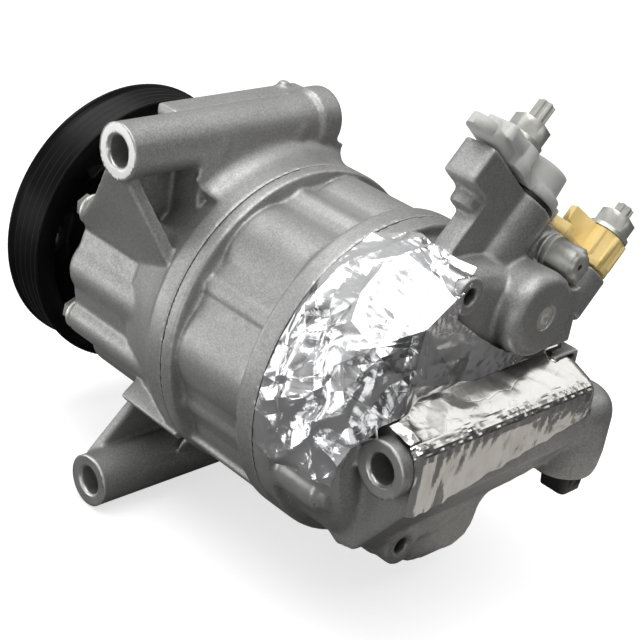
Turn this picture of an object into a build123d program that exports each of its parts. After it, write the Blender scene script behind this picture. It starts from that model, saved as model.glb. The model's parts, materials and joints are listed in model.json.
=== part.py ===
from build123d import *
import math
import os

# Automotive A/C compressor: seven-cylinder, variable-displacement swash-plate type, clutchless.
# Millimetres. Y is the shaft axis, pulley (front) at -Y and port end (rear) at +Y; Z is up.
# The origin is on the shaft axis at the middle of the pulley's belt track.

os.makedirs("parts", exist_ok=True)

# ---------------------------------------------------------------- driving dimensions
# Cylinders and through-bolts; angles run from +X towards +Z
N_CYL = 7
STEP = 360.0 / N_CYL
BOLT_ANGLE = 29.3                 # first through-bolt
CYL_ANGLE = BOLT_ANGLE - STEP / 2
BOLT_PCD_R = 49.3
RIDGE_PCD_R = 48.6                # housing ridges over the bolts
BOLT_R = 3.0
BOLT_HOLE_R = 3.2
BOLT_THREAD_R = BOLT_R + 0.05
BOLT_SEAT_Y = 27.2                # where the bolt heads bear
DOWEL_PCD_R = 50.4
DOWEL_R = 1.48
DOWEL_HOLE_R = 1.5
CYL_PCD_R = 35.0
BORE_R = 12.5
PISTON_R = 12.46
CRANK_R = 45.0                    # crank chamber

# Stations along the shaft
SKIN_R = 59.0                     # radius of the joint flanges
Y_FACE = 26.0                     # front face of the front housing
Y_J1 = 91.0                       # front housing / cylinder block joint
Y_J2 = 140.0                      # cylinder block / rear housing joint
GASKET = 0.4
REAR_GASKET = 0.5
Y_BLOCK = Y_J1 + GASKET           # front face of the cylinder block
Y_HEAD = Y_J2 + REAR_GASKET       # front face of the rear housing
Y_REAR = 175.4                    # rear face of the rear housing's round part
Y_BOX = 195.4                     # rear face of the cross box
SWASH_Y = 88.0                    # middle of the swash plate, plate square to the shaft

# Valve stack behind the cylinder block
REED_T = 0.3
PLATE_T = 2.8
RETAINER_T = 1.2
STACK_R = 53.4
Y_PLATE = Y_J2 + REED_T
Y_DISCHARGE_REED = Y_PLATE + PLATE_T
Y_RETAINER = Y_DISCHARGE_REED + REED_T
Y_STACK_REAR = Y_RETAINER + RETAINER_T
SUCTION_RING = (33.6, 44.3)       # inner and outer radius of the suction chamber

# Mounting points
TUBE_Y = 65.4                     # the two front mounting tubes
TUBE_ZU = 65.0
TUBE_ZL = -66.0
TUBE_XU = 17.5                    # middles of the tubes
TUBE_XL = 17.0
TUBE_R = 10.0
TUBE_BORE = 5.5
MOUNT_X = 65.0                    # machined ends of the tubes
EAR_X, EAR_Y, EAR_Z = 46.0, 185.9, 0.5
EAR_R = 10.0
EAR_BORE = 5.25

# Valves in the rear housing
VALVE_X, VALVE_Y = -56.6, 185.2   # control-valve bore, axis along Z
MUF_X, MUF_Z = -26.0, 36.0        # discharge muffler chamber, along Y
REL_X, REL_Z = -44.8, 49.2        # relief valve, along Y

# Ports: places are (along the port row, towards the front) on the PORT plane
PORT_TILT = math.radians(48.0)    # port axes above horizontal, towards -X
PORT_OUT = (-math.cos(PORT_TILT), 0, math.sin(PORT_TILT))
PORT_ROW = (-math.sin(PORT_TILT), 0, -math.cos(PORT_TILT))
SEAT_N = 73.5                     # distance of the port seats from the shaft axis
PORT_Y = 157.4
SUC_X, SUC_STUD_X = -17.5, -37.5
SUCTION = (SUC_X, 0)
SUCTION_STUD = (SUC_STUD_X, 0)
DISCHARGE = DIS_X, DIS_Y = 7.0, -2.0
DISCHARGE_STUD = DIS_STUD_X, DIS_STUD_Y = 24.0, -11.0
SUC_BORE = 8.0
DIS_BORE = 5.5
PORT = Plane(origin=(SEAT_N * PORT_OUT[0], PORT_Y, SEAT_N * PORT_OUT[2]),
             x_dir=PORT_ROW, z_dir=PORT_OUT)


# ---------------------------------------------------------------- planes and places
def sec(y):
    """Plane across the shaft: local x is X, local y is Z. A negative extrude runs to +Y."""
    return Plane(origin=(0, y, 0), x_dir=(1, 0, 0), z_dir=(0, -1, 0))


def side(x):
    """Plane along the shaft: local x is Y, local y is Z."""
    return Plane(origin=(x, 0, 0), x_dir=(0, 1, 0), z_dir=(1, 0, 0))


def valve_plane(z):
    """Level plane centred on the control valve."""
    return Plane(origin=(VALVE_X, VALVE_Y, z), z_dir=(0, 0, 1))


def along(start, end):
    """Plane at start whose normal points to end, and the distance between them."""
    delta = [q - p for p, q in zip(start, end)]
    length = math.sqrt(sum(v * v for v in delta))
    return Plane(origin=start, z_dir=tuple(v / length for v in delta)), length


def at_x(x, y, z):
    """Local z along +X."""
    return Location((x, y, z), (0, 90, 0))


def at_y(x, y, z):
    """Local z along +Y."""
    return Location((x, y, z), (-90, 0, 0))


def at_muffler(y):
    return at_y(MUF_X, y, MUF_Z)


def at_relief(y):
    return at_y(REL_X, y, REL_Z)


def polar(radius, angle):
    """(X, Z) of a point round the shaft."""
    a = math.radians(angle)
    return radius * math.cos(a), radius * math.sin(a)


def ring_points(count, radius, y):
    """Evenly spaced points round the shaft."""
    flat = [polar(radius, k * 360 / count) for k in range(count)]
    return [(x, y, z) for x, z in flat]


def radial_places(count, radius, y):
    """The same points, each with local z along its radius."""
    points = ring_points(count, radius, y)
    return [Location(point, (0, 90 - k * 360 / count, 0)) for k, point in enumerate(points)]


def at_bolts(radius=BOLT_PCD_R):
    return PolarLocations(radius, N_CYL, BOLT_ANGLE)


def at_cylinders(radius=CYL_PCD_R):
    return PolarLocations(radius, N_CYL, CYL_ANGLE)


cyl_angles = [CYL_ANGLE + k * STEP for k in range(N_CYL)]
dowels = [polar(DOWEL_PCD_R, cyl_angles[k]) for k in (1, 5)]
# the two through-bolts whose threads run out through the rear
long_bolts = [polar(BOLT_PCD_R, BOLT_ANGLE + k * STEP) for k in (1, 5)]


# ---------------------------------------------------------------- shape helpers
def rod(radius, length, *places, mode=Mode.ADD):
    """Cylinder centred at each place, in the open part."""
    with Locations(*places):
        Cylinder(radius, length, mode=mode)


def block(centre, size, mode=Mode.ADD):
    """Box centred at a point, in the open part."""
    with Locations(centre):
        Box(*size, mode=mode)


def low_rib(radius, y, height, length):
    """Lengthwise rib low on the +X side, in the open part."""
    with Locations(Location((0, 0, 0), (0, 41, 0))):
        block((radius, y, 0), (height, length, 4.0))


def punch_bolts_and_dowels():
    """Clearance holes in the open sketch of a gasket or plate."""
    with at_bolts():
        Circle(BOLT_HOLE_R, mode=Mode.SUBTRACT)
    with Locations(*dowels):
        Circle(1.55, mode=Mode.SUBTRACT)


def box_outline(inner_r, outer_r, front_y, rear_y):
    """Rectangular ring section as (radius, y)."""
    return [(inner_r, front_y), (outer_r, front_y), (outer_r, rear_y), (inner_r, rear_y)]


def revolved(*outlines, plane=Plane.XY, axis=Axis.Y):
    """Part made of closed outlines turned about an axis; points are (radius, y) by default."""
    with BuildPart() as piece:
        for outline in outlines:
            with BuildSketch(plane):
                with BuildLine():
                    Polyline(*outline, close=True)
                make_face()
            revolve(axis=axis)
    return piece.part


def coil_spring(wire_r, coil_r, pitch, height, base, axis=(0, 1, 0)):
    line = Helix(pitch=pitch, height=height, radius=coil_r, center=base, direction=axis)
    with BuildPart() as spring:
        with BuildLine() as path:
            add(line)
        with BuildSketch(Plane(origin=line @ 0, z_dir=line % 0)):
            Circle(wire_r)
        sweep(path=path.line, is_frenet=True)
    return spring.part


def save(name, part):
    part.label = name
    export_step(part, f"parts/{name}.step")


# ---------------------------------------------------------------- front housing
# y, length, core radius, ridge radius, swell radius
FLUTED_BODY = [
    (Y_FACE + 1.5, 84 - Y_FACE - 1.5, 50.6, 7.2, 11.6),
    (Y_FACE, 2, 49.4, 6.2, 10.6),
]
# (radius, y)
JOINT_FLANGE = [(44, 62), (51.5, 62), (55.5, 76), (57.6, 82), (SKIN_R, 83.2),
                (SKIN_R, Y_J1), (44, Y_J1)]
NOSE = [(0, Y_FACE + 1), (38, Y_FACE + 1), (34, Y_FACE - 3), (24, 14), (20.5, 12), (17.5, 12),
        (17.5, -5.0), (17.5, -9.2), (16.7, -10), (0, -10)]
NOSE_BORE = [(0, -11), (13.3, -11), (12.5, -9.6), (12.5, 0.0), (13.4, 0.0), (13.4, 1.3),
             (12.5, 1.3), (12.5, 14), (10.2, 14), (10.2, 18), (12.5, 18), (12.5, 31.2),
             (13.0, 31.2), (13.0, 35), (0, 35)]
CIRCLIP_GROOVE = box_outline(16.5, 18.5, -7.95, -6.65)
# (x, z)
UPPER_SADDLE = [(36, 38), (35.5, 65.5), (-28.5, 65.5), (-28.5, 52), (-36.5, 39), (-36.5, 30),
                (36, 30)]
UPPER_GUSSET = [(34, 28.5), (39, 31.5), (64.0, 57.0), (64.0, 66), (30, 66), (20, 40)]
LOWER_GUSSET = [(38, -39), (41.5, -41.5), (59.6, -59.8), (60, -66), (18, -66), (18, -45)]
# (y, distance up the slope)
SLANTING_WEB = [(28.0, -1.0), (29.0, 4.0), (43, 19), (57, 37.2), (70.0, 37.2), (81.5, 5.0),
                (82.5, -1)]
WEB_PLANE = Plane(origin=(48.9, 0, 21.0), x_dir=(0, 1, 0), z_dir=(0.917, 0, -0.399))
# plane, outline, thickness
PLATES = [
    (sec(57.0), UPPER_GUSSET, 4.0),
    (WEB_PLANE, SLANTING_WEB, 5.2),
    (sec(55.5), LOWER_GUSSET, 4.6),
]
SADDLE_W = 18.8
TUBE_CHAMFER = 0.75

with BuildPart() as front_housing:
    # fluted body: a ridge over each through-bolt and a low swell between two ridges
    for y, length, core_r, ridge_r, swell_r in FLUTED_BODY:
        with BuildSketch(sec(y)):
            Circle(core_r)
            with at_bolts(RIDGE_PCD_R):
                Circle(ridge_r)
            with at_cylinders(41.5):
                Circle(swell_r)
        extrude(amount=-length)
    # swelling towards the joint flange with the flange, then the nose inside the pulley
    for outline in (JOINT_FLANGE, NOSE):
        with BuildSketch(Plane.XY):
            with BuildLine():
                Polyline(*outline, close=True)
            make_face()
        revolve(axis=Axis.Y)
    # mounting tubes across the top and bottom; the upper one has a stepped collar at its -X end
    rod(TUBE_R, 2 * (MOUNT_X - TUBE_XU), at_x(TUBE_XU, TUBE_Y, TUBE_ZU))
    rod(11.6, 9, at_x(-24.5, TUBE_Y, TUBE_ZU))
    rod(10.8, 1.6, at_x(-29.3, TUBE_Y, TUBE_ZU))
    rod(TUBE_R, 2 * (MOUNT_X - TUBE_XL), at_x(TUBE_XL, TUBE_Y, TUBE_ZL))
    # saddles between the tubes and the body
    with BuildSketch(sec(56.5)):
        with BuildLine():
            Polyline(*UPPER_SADDLE, close=True)
        make_face()
    extrude(amount=-SADDLE_W)
    block((-8, 65.9, -52), (56, SADDLE_W, 27))
    # concave root between each saddle and the joint flange: start angle, arc
    for start, arc in ((121, 66), (298, 62)):
        c, s = polar(1, start)
        with BuildSketch(Plane(origin=(0, 0, 0), x_dir=(c, 0, s), z_dir=(-s, 0, c))):
            with BuildLine():
                Spline((66.0, 75.2), (61.9, 76.6), (59.8, 79.6), (59.0, 84.5))
                Polyline((59.0, 84.5), (50, 84.5), (50, 74), (66, 74), (66.0, 75.2))
            make_face()
        revolve(axis=Axis.Y, revolution_arc=arc)
    # two ejector-pin discs on the upper saddle
    rod(2.3, 1.1, at_y(26.5, 75.5, 64.4), at_y(-10.4, 75.5, 64.4))
    # on the +X side: gusset to each tube, and a slanting web up to the upper one
    for plane, outline, thickness in PLATES:
        with BuildSketch(plane):
            with BuildLine():
                Polyline(*outline, close=True)
            make_face()
        extrude(amount=-thickness)
    # flat pad in front of the upper tube, its foot and a small disc on it
    block((1.0, 50.8, 69.3), (66, 10.4, 5.0))
    block((1.0, 53.0, 60), (60, 5, 20))
    rod(2.2, 3, (-24, 48.6, 72.4))
    low_rib(56.0, 73.5, 9.6, 33)
    # crank chamber
    with BuildSketch(sec(34)):
        Circle(CRANK_R)
    extrude(amount=-(Y_J1 - 34), mode=Mode.SUBTRACT)
    # stepped bore for the shaft seal and front needle bearing; groove for the pulley circlip
    for outline in (NOSE_BORE, CIRCLIP_GROOVE):
        with BuildSketch(Plane.XY):
            with BuildLine():
                Polyline(*outline, close=True)
            make_face()
        revolve(axis=Axis.Y, mode=Mode.SUBTRACT)
    # through-bolt holes with spot faces: y, radius, depth
    for y, radius, depth in ((Y_FACE - 1, BOLT_HOLE_R, Y_J1 - Y_FACE + 2),
                             (12, 6.6, BOLT_SEAT_Y - 12)):
        with BuildSketch(sec(y)):
            with at_bolts():
                Circle(radius)
        extrude(amount=-depth, mode=Mode.SUBTRACT)
    # dowel holes
    with BuildSketch(sec(85.9)):
        with Locations(*dowels):
            Circle(DOWEL_HOLE_R)
    extrude(amount=-6, mode=Mode.SUBTRACT)
    # mounting bores, chamfered at their +X mouths
    rod(TUBE_BORE, 2 * MOUNT_X + 20, at_x(0, TUBE_Y, TUBE_ZU), at_x(0, TUBE_Y, TUBE_ZL),
        mode=Mode.SUBTRACT)
    with Locations(*[at_x(MOUNT_X - 0.35, TUBE_Y, z) for z in (TUBE_ZU, TUBE_ZL)]):
        Cone(TUBE_BORE, TUBE_BORE + TUBE_CHAMFER, TUBE_CHAMFER, mode=Mode.SUBTRACT)
save("front_housing", front_housing.part)

# ---------------------------------------------------------------- cylinder block
SWELL_PCD_R = 35.6
# (radius, y): thrust bearing recess, needle bearing seat, bleed hole
CENTRE_BORE = [(0, 99), (15.6, 99), (15.6, 108.1), (9.9, 108.1), (9.9, 123), (4, 124),
               (4, 141), (0, 141)]

with BuildPart() as cylinder_block:
    # joint flanges: y, thickness
    for y, thickness in ((Y_BLOCK, 5.2), (Y_J2 - 8.5, 8.5)):
        with BuildSketch(sec(y)):
            Circle(SKIN_R)
        extrude(amount=-thickness)
    with BuildSketch(sec(Y_BLOCK + 4)):
        Circle(53.4)
        with at_bolts():
            Circle(5.4)
    extrude(amount=-(Y_J2 - Y_BLOCK - 8))
    # smooth swell over each cylinder, stepped in at the front: y, length, radius
    for y, length, radius in ((Y_BLOCK + 6.5, Y_J2 - 8.0 - Y_BLOCK - 6.5, 21.6),
                              (Y_BLOCK + 5, 4, 20.2)):
        with BuildSketch(sec(y)):
            with at_cylinders(SWELL_PCD_R):
                Circle(radius)
        extrude(amount=-length)
    low_rib(53.8, (Y_BLOCK + Y_J2 - 3) / 2, 9.2, Y_J2 - 3 - Y_BLOCK)
    # crank chamber mouth and cylinder bores
    with BuildSketch(sec(Y_BLOCK)):
        Circle(CRANK_R)
    extrude(amount=-(100 - Y_BLOCK), mode=Mode.SUBTRACT)
    with BuildSketch(sec(99)):
        with at_cylinders():
            Circle(BORE_R)
    extrude(amount=-(Y_J2 - 98), mode=Mode.SUBTRACT)
    with BuildSketch(Plane.XY):
        with BuildLine():
            Polyline(*CENTRE_BORE, close=True)
        make_face()
    revolve(axis=Axis.Y, mode=Mode.SUBTRACT)
    with BuildSketch(sec(Y_BLOCK - 1)):
        with at_bolts():
            Circle(BOLT_HOLE_R)
    extrude(amount=-(Y_J2 - Y_BLOCK + 2), mode=Mode.SUBTRACT)
    # dowel holes in both faces
    for y in (Y_BLOCK - 1, Y_J2 - 5.6):
        with BuildSketch(sec(y)):
            with Locations(*dowels):
                Circle(DOWEL_HOLE_R)
        extrude(amount=-6.6, mode=Mode.SUBTRACT)
save("cylinder_block", cylinder_block.part)

# ---------------------------------------------------------------- rear housing
# (radius, y)
ROUND_BODY = [(0, Y_HEAD + 4), (54.8, Y_HEAD + 4), (54.8, 166), (53.6, 170), (51.0, 173.2),
              (47.5, Y_REAR), (0, Y_REAR)]
MUFFLER_BODY = [(0, 150), (15.4, 150), (15.6, 180.6), (15.0, 183.0), (13.4, 184.8),
                (11.4, 185.4), (0, 185.4)]
MUFFLER_BORE = [(0, 165), (3.4, 165), (3.4, 170), (4.2, 170), (4.2, 186), (0, 186)]
# (y, z)
CROSS_BOX = [(150, -30), (168, -41), (176, -39), (Y_BOX - 3, -17), (Y_BOX, -13.5),
             (Y_BOX, 6.5), (Y_BOX - 2, 8.5), (176, 14.5), (168, 26), (150, 30)]
# (radius, z)
VALVE_HOUSING = [(0, -31), (12.3, -31), (13.3, -27.5), (14, -21), (14, -6.5), (13.2, -3.0),
                 (11.2, -0.4), (8.2, 1.5), (0, 2.2)]
# (x, z)
LOBED_WALL = [(14, -48), (12.3, -54.6), (6.5, -57.8), (-1.2, -59.1), (-17.4, -59.7),
              (-23.4, -57.4), (-26.4, -53.2), (-28.2, -45.6), (-31.0, -42.6), (-35.4, -41.2),
              (-47, -38.5), (-47, -20), (14, -20)]
# along the port row and across it
DISCHARGE_BRIDGE = [(DIS_X - 8, DIS_Y - 7.6), (DIS_STUD_X - 7.4, DIS_STUD_Y - 5.6),
                    (DIS_STUD_X + 4.2, DIS_STUD_Y + 8.2), (DIS_X + 5, DIS_Y + 9.8)]
# place, radius, depth from 1 mm outside the seats
PORT_BORES = [
    (SUCTION, SUC_BORE, 42),
    (DISCHARGE, DIS_BORE, 16),
    (SUCTION_STUD, 4.0, 12.5),
    (DISCHARGE_STUD, 4.0, 13.5),
]
# slanted passages: start, end
DISCHARGE_TO_MUFFLER = ((-16.5, 167.0, 23.0), (-25.0, 167.4, 34.6))
PORT_TO_MUFFLER = ((-44.8, 159.4, 39.2), (-28.0, 178.2, 36.4))
RELIEF_PILOT = ((-44.9, 166.4, 49.1), (-48.4, 161.2, 44.8))
DISCHARGE_TO_VALVE = ((-21, 168.5, -6), (-51.5, 182.5, -8))
EAR_CHAMFER = 0.95

valve_housing = revolved(VALVE_HOUSING, plane=Plane.XZ, axis=Axis.Z)
muffler_body = revolved(MUFFLER_BODY)
muffler_bore = revolved(MUFFLER_BORE)

with BuildPart() as rear_housing:
    with BuildSketch(sec(Y_HEAD)):
        Circle(SKIN_R)
    extrude(amount=-7.5)
    with BuildSketch(Plane.XY):
        with BuildLine():
            Polyline(*ROUND_BODY, close=True)
        make_face()
    revolve(axis=Axis.Y)
    # bolt ridges: y, length, pitch radius, radius
    for y, length, pitch_r, radius in ((Y_HEAD + 4, 167 - Y_HEAD - 4, BOLT_PCD_R, 8.4),
                                       (166, 4.5, RIDGE_PCD_R, 7.0)):
        with BuildSketch(sec(y)):
            with at_bolts(pitch_r):
                Circle(radius)
        extrude(amount=-length)
    # cross box behind the round part, its top falling away to the rear
    with BuildSketch(side(40)):
        with BuildLine():
            Polyline(*CROSS_BOX, close=True)
        make_face()
    extrude(amount=-90)
    # ear for the rear mounting bore
    rod(EAR_R, EAR_X - 14, at_x((EAR_X + 14) / 2, EAR_Y, EAR_Z))
    # control-valve housing, upright at the -X end of the box
    add(Pos(VALVE_X, VALVE_Y, 0) * valve_housing)
    block((-46, 178, -12), (24, 20, 26))
    # lower shoulder between the valve housing and the round part
    block((-27, 165, -29), (34, 22, 22))
    # lobed lower wall under the cross box
    with BuildSketch(sec(150)):
        with BuildLine():
            Polyline(*LOBED_WALL, close=True)
        make_face()
    extrude(amount=-24.6)
    # a boss behind each long through-bolt: y, radius, length
    for (x, z), (y, radius, length) in zip(long_bolts, ((170, 7.0, 17), (169, 7.6, 13.5))):
        rod(radius, length, at_y(x, y, z))
    # discharge muffler chamber
    add(Pos(MUF_X, 0, MUF_Z) * muffler_body)
    block((-36, 166, 34), (22, 34, 26))
    # suction port block and its neck
    with BuildSketch(PORT):
        with Locations((-30.5, 0)):
            RectangleRounded(49, 13.6, 2.0)
        with Locations(SUCTION):
            Circle(12.4)
    extrude(amount=-13.5)
    with BuildSketch(PORT.offset(-12)):
        with Locations((SUC_X, -1)):
            Circle(11.5)
        with Locations((-30, -2)):
            Rectangle(22, 9)
    extrude(amount=-22)
    with BuildSketch(PORT.offset(-12)):
        with Locations((-42.4, 0)):
            Circle(5.2)
    extrude(amount=-7)
    # rib under the port block
    with BuildSketch(PORT.offset(-12)):
        with Locations((-40, -3.4)):
            Rectangle(2.4, 4)
    extrude(amount=-22)
    # discharge port block and its foot
    with BuildSketch(PORT):
        with Locations(DISCHARGE):
            Circle(11.0)
        with Locations(DISCHARGE_STUD):
            Circle(9.2)
        with BuildLine():
            Polyline(*DISCHARGE_BRIDGE, close=True)
        make_face()
        with Locations((0, -3)):
            RectangleRounded(16, 13, 2)
    extrude(amount=-17)
    with BuildSketch(PORT.offset(-15)):
        with Locations((0.5, -5)):
            Rectangle(19, 18)
    extrude(amount=-18)
    # relief valve boss
    rod(7.6, 16, at_relief(161))
    # lug over the -X end of the box
    block((-47, 179, 13), (14, 9, 7))
    # seat for the valve plate
    with BuildSketch(sec(Y_HEAD - 1)):
        Circle(53.6)
    extrude(amount=-(Y_STACK_REAR - Y_HEAD + 1), mode=Mode.SUBTRACT)
    # suction chamber (outer ring) and discharge chamber (centre)
    with BuildSketch(sec(144)):
        Circle(SUCTION_RING[1])
        Circle(SUCTION_RING[0], mode=Mode.SUBTRACT)
    extrude(amount=-18, mode=Mode.SUBTRACT)
    with BuildSketch(sec(144)):
        Circle(31.0)
    extrude(amount=-28, mode=Mode.SUBTRACT)
    # through-bolt threads, two of them running on through their bosses
    with BuildSketch(sec(143)):
        with at_bolts():
            Circle(BOLT_THREAD_R)
    extrude(amount=-17, mode=Mode.SUBTRACT)
    with BuildSketch(sec(159)):
        with Locations(*long_bolts):
            Circle(BOLT_THREAD_R)
    extrude(amount=-25, mode=Mode.SUBTRACT)
    with BuildSketch(sec(143)):
        with Locations(*dowels):
            Circle(DOWEL_HOLE_R)
    extrude(amount=-3, mode=Mode.SUBTRACT)
    # ports and stud threads
    for place, radius, depth in PORT_BORES:
        with BuildSketch(PORT.offset(1)):
            with Locations(place):
                Circle(radius)
        extrude(amount=-depth, mode=Mode.SUBTRACT)
    # muffler bore, open to the rear for its plug, and the passages into it
    add(Pos(MUF_X, 0, MUF_Z) * muffler_bore, mode=Mode.SUBTRACT)
    for start, end in (DISCHARGE_TO_MUFFLER, PORT_TO_MUFFLER):
        passage, length = along(start, end)
        with BuildSketch(passage):
            Circle(2.4)
        extrude(amount=length, mode=Mode.SUBTRACT)
    # relief valve seat, thread and pilot hole
    rod(7.5, 24.0, at_relief(181), mode=Mode.SUBTRACT)
    rod(4.0, 4.2, at_relief(167.4), mode=Mode.SUBTRACT)
    passage, length = along(*RELIEF_PILOT)
    with BuildSketch(passage):
        Circle(1.1)
    extrude(amount=length, mode=Mode.SUBTRACT)
    # stepped control-valve bore, from below: z, radius, depth
    for z, radius, depth in ((-32, 11.2, 13), (-20, 8.0, 19.5)):
        with BuildSketch(valve_plane(z)):
            Circle(radius)
        extrude(amount=depth, mode=Mode.SUBTRACT)
    # passage from the discharge chamber to the control valve
    passage, length = along(*DISCHARGE_TO_VALVE)
    with BuildSketch(passage):
        Circle(1.5)
    extrude(amount=length, mode=Mode.SUBTRACT)
    # rear mounting bore, chamfered at its +X mouth
    rod(EAR_BORE, 46, at_x(EAR_X - 21, EAR_Y, EAR_Z), mode=Mode.SUBTRACT)
    with Locations(at_x(EAR_X - 0.45, EAR_Y, EAR_Z)):
        Cone(EAR_BORE, EAR_BORE + EAR_CHAMFER, EAR_CHAMFER, mode=Mode.SUBTRACT)
    # slot of the lug
    block((-47, 182, 13.5), (10, 8, 3), mode=Mode.SUBTRACT)
save("rear_housing", rear_housing.part)

# ---------------------------------------------------------------- gaskets and valve stack
GASKET_R = SKIN_R - 0.3

with BuildPart() as front_gasket:
    with BuildSketch(sec(Y_J1)):
        Circle(GASKET_R)
        Circle(45.3, mode=Mode.SUBTRACT)
        punch_bolts_and_dowels()
    extrude(amount=-GASKET)
save("front_gasket", front_gasket.part)

with BuildPart() as rear_gasket:
    with BuildSketch(sec(Y_J2)):
        Circle(GASKET_R)
        Circle(53.6, mode=Mode.SUBTRACT)
    extrude(amount=-REAR_GASKET)
save("rear_gasket", rear_gasket.part)

with BuildPart() as suction_reed_plate:
    with BuildSketch(sec(Y_J2)):
        Circle(STACK_R)
        Circle(6, mode=Mode.SUBTRACT)
        punch_bolts_and_dowels()
        # slots that free a tongue over each suction port
        with at_cylinders():
            with Locations((0, 4.6), (0, -4.6)):
                Rectangle(15, 0.8, mode=Mode.SUBTRACT)
            with Locations((7.6, 0)):
                Rectangle(0.8, 10.0, mode=Mode.SUBTRACT)
            with Locations((-5.5, 0)):
                Circle(2.0, mode=Mode.SUBTRACT)
    extrude(amount=-REED_T)
save("suction_reed_plate", suction_reed_plate.part)

with BuildPart() as valve_plate:
    with BuildSketch(sec(Y_PLATE)):
        Circle(STACK_R)
        Circle(2, mode=Mode.SUBTRACT)
        punch_bolts_and_dowels()
        # suction ports outside, discharge ports inside: pitch radius, radius
        for pitch_r, radius in ((39.5, 3.4), (28.0, 2.8)):
            with at_cylinders(pitch_r):
                Circle(radius, mode=Mode.SUBTRACT)
    extrude(amount=-PLATE_T)
save("valve_plate", valve_plate.part)

with BuildPart() as discharge_reed_plate:
    # disc with a round-ended tongue to each discharge port, slit between the tongues
    with BuildSketch(sec(Y_DISCHARGE_REED)):
        Circle(24)
        with at_cylinders(24.5):
            Rectangle(12, 7.6)
        with at_cylinders(28.2):
            Circle(4.0)
        Circle(4, mode=Mode.SUBTRACT)
        with at_bolts(20):
            Rectangle(8, 1.2, mode=Mode.SUBTRACT)
    extrude(amount=-REED_T)
save("discharge_reed_plate", discharge_reed_plate.part)

with BuildPart() as retainer_gasket:
    # outer ring, inner disc, and bridges between them over the suction chamber
    with BuildSketch(sec(Y_RETAINER)):
        Circle(STACK_R)
        Circle(SUCTION_RING[1], mode=Mode.SUBTRACT)
        punch_bolts_and_dowels()
    extrude(amount=-RETAINER_T)
    with BuildSketch(sec(Y_RETAINER)):
        Circle(SUCTION_RING[0])
        Circle(4, mode=Mode.SUBTRACT)
        with at_cylinders(27.6):
            Circle(3.6, mode=Mode.SUBTRACT)
    extrude(amount=-RETAINER_T)
    with BuildSketch(sec(Y_RETAINER)):
        with at_bolts(39):
            Rectangle(12, 5)
    extrude(amount=-1.0)
save("retainer_gasket", retainer_gasket.part)

# ---------------------------------------------------------------- through-bolts and dowels
BOLT_FLANGE_T = 1.3
BOLT_END_Y = 158

with BuildPart() as through_bolts:
    # head flange, hexagon, shank
    with BuildSketch(sec(BOLT_SEAT_Y)):
        with at_bolts():
            Circle(6.1)
    extrude(amount=BOLT_FLANGE_T)
    with BuildSketch(sec(BOLT_SEAT_Y - BOLT_FLANGE_T)):
        with at_bolts():
            RegularPolygon(4.0, 6, major_radius=False)
    extrude(amount=4.2)
    with BuildSketch(sec(BOLT_SEAT_Y)):
        with at_bolts():
            Circle(BOLT_R)
    extrude(amount=-(BOLT_END_Y - BOLT_SEAT_Y))
save("through_bolts", through_bolts.part)

with BuildPart() as dowel_pins:
    # a pair across each joint: y, length
    for y, length in ((86.2, 10.4), (134.8, 10.9)):
        with BuildSketch(sec(y)):
            with Locations(*dowels):
                Circle(DOWEL_R)
        extrude(amount=-length)
save("dowel_pins", dowel_pins.part)

# ---------------------------------------------------------------- pulley and drive hub
PULLEY_R = 55.6         # over the pulley rims
PULLEY_HALF = 9.8       # half of the pulley width
GROOVES = 5             # belt grooves
GROOVE_PITCH = 3.56
TRACK_HALF = GROOVES * GROOVE_PITCH / 2
LAND_R = PULLEY_R - 0.7
ROOT_R = PULLEY_R - 3.3
FLAT_HALF = 0.25        # half of the flat on each land and root
DAMPERS = 6
DAMPER_PCD_R = 39.5
DAMPER_R = 5.6
DAMPER_PIN_R = 2.6
HUB_FRONT_Y = -16.0

# pulley section as (radius, y): front rim, belt grooves, rear rim and web
pulley_outline = [(46.5, -PULLEY_HALF), (PULLEY_R - 0.5, -PULLEY_HALF),
                  (PULLEY_R, -PULLEY_HALF + 0.4), (PULLEY_R, -TRACK_HALF - 0.15)]
for k in range(GROOVES):
    start = -TRACK_HALF + k * GROOVE_PITCH
    pulley_outline += [
        (LAND_R, start + FLAT_HALF),
        (ROOT_R, start + GROOVE_PITCH / 2 - FLAT_HALF),
        (ROOT_R, start + GROOVE_PITCH / 2 + FLAT_HALF),
        (LAND_R, start + GROOVE_PITCH - FLAT_HALF),
    ]
pulley_outline += [
    (PULLEY_R, TRACK_HALF + 0.15), (PULLEY_R, PULLEY_HALF - 0.4), (PULLEY_R - 0.5, PULLEY_HALF),
    (47.2, PULLEY_HALF), (45.6, 3.0), (42.0, -1.0), (33.4, -1.0), (32.6, 1.0), (31.6, 11.2),
    (27.5, 11.2), (27.5, -7.0), (32.2, -7.0), (32.6, -6.0), (46.3, -6.0),
]
with BuildPart() as pulley:
    with BuildSketch(Plane.XY):
        with BuildLine():
            Polyline(*pulley_outline, close=True)
        make_face()
    revolve(axis=Axis.Y)
    with BuildSketch(sec(-8)):
        with PolarLocations(DAMPER_PCD_R, DAMPERS, 0):
            Circle(DAMPER_R)
    extrude(amount=-9, mode=Mode.SUBTRACT)
save("pulley", pulley.part)

with BuildPart() as hub_dampers:
    # bush into the web and a collar in front of it: radius, extrusion towards the front
    for radius, amount in ((DAMPER_R, -5.0), (DAMPER_R + 1, 1.2)):
        with BuildSketch(sec(-6.0)):
            with PolarLocations(DAMPER_PCD_R, DAMPERS, 0):
                Circle(radius)
                Circle(DAMPER_PIN_R, mode=Mode.SUBTRACT)
        extrude(amount=amount)
save("hub_dampers", hub_dampers.part)

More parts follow.
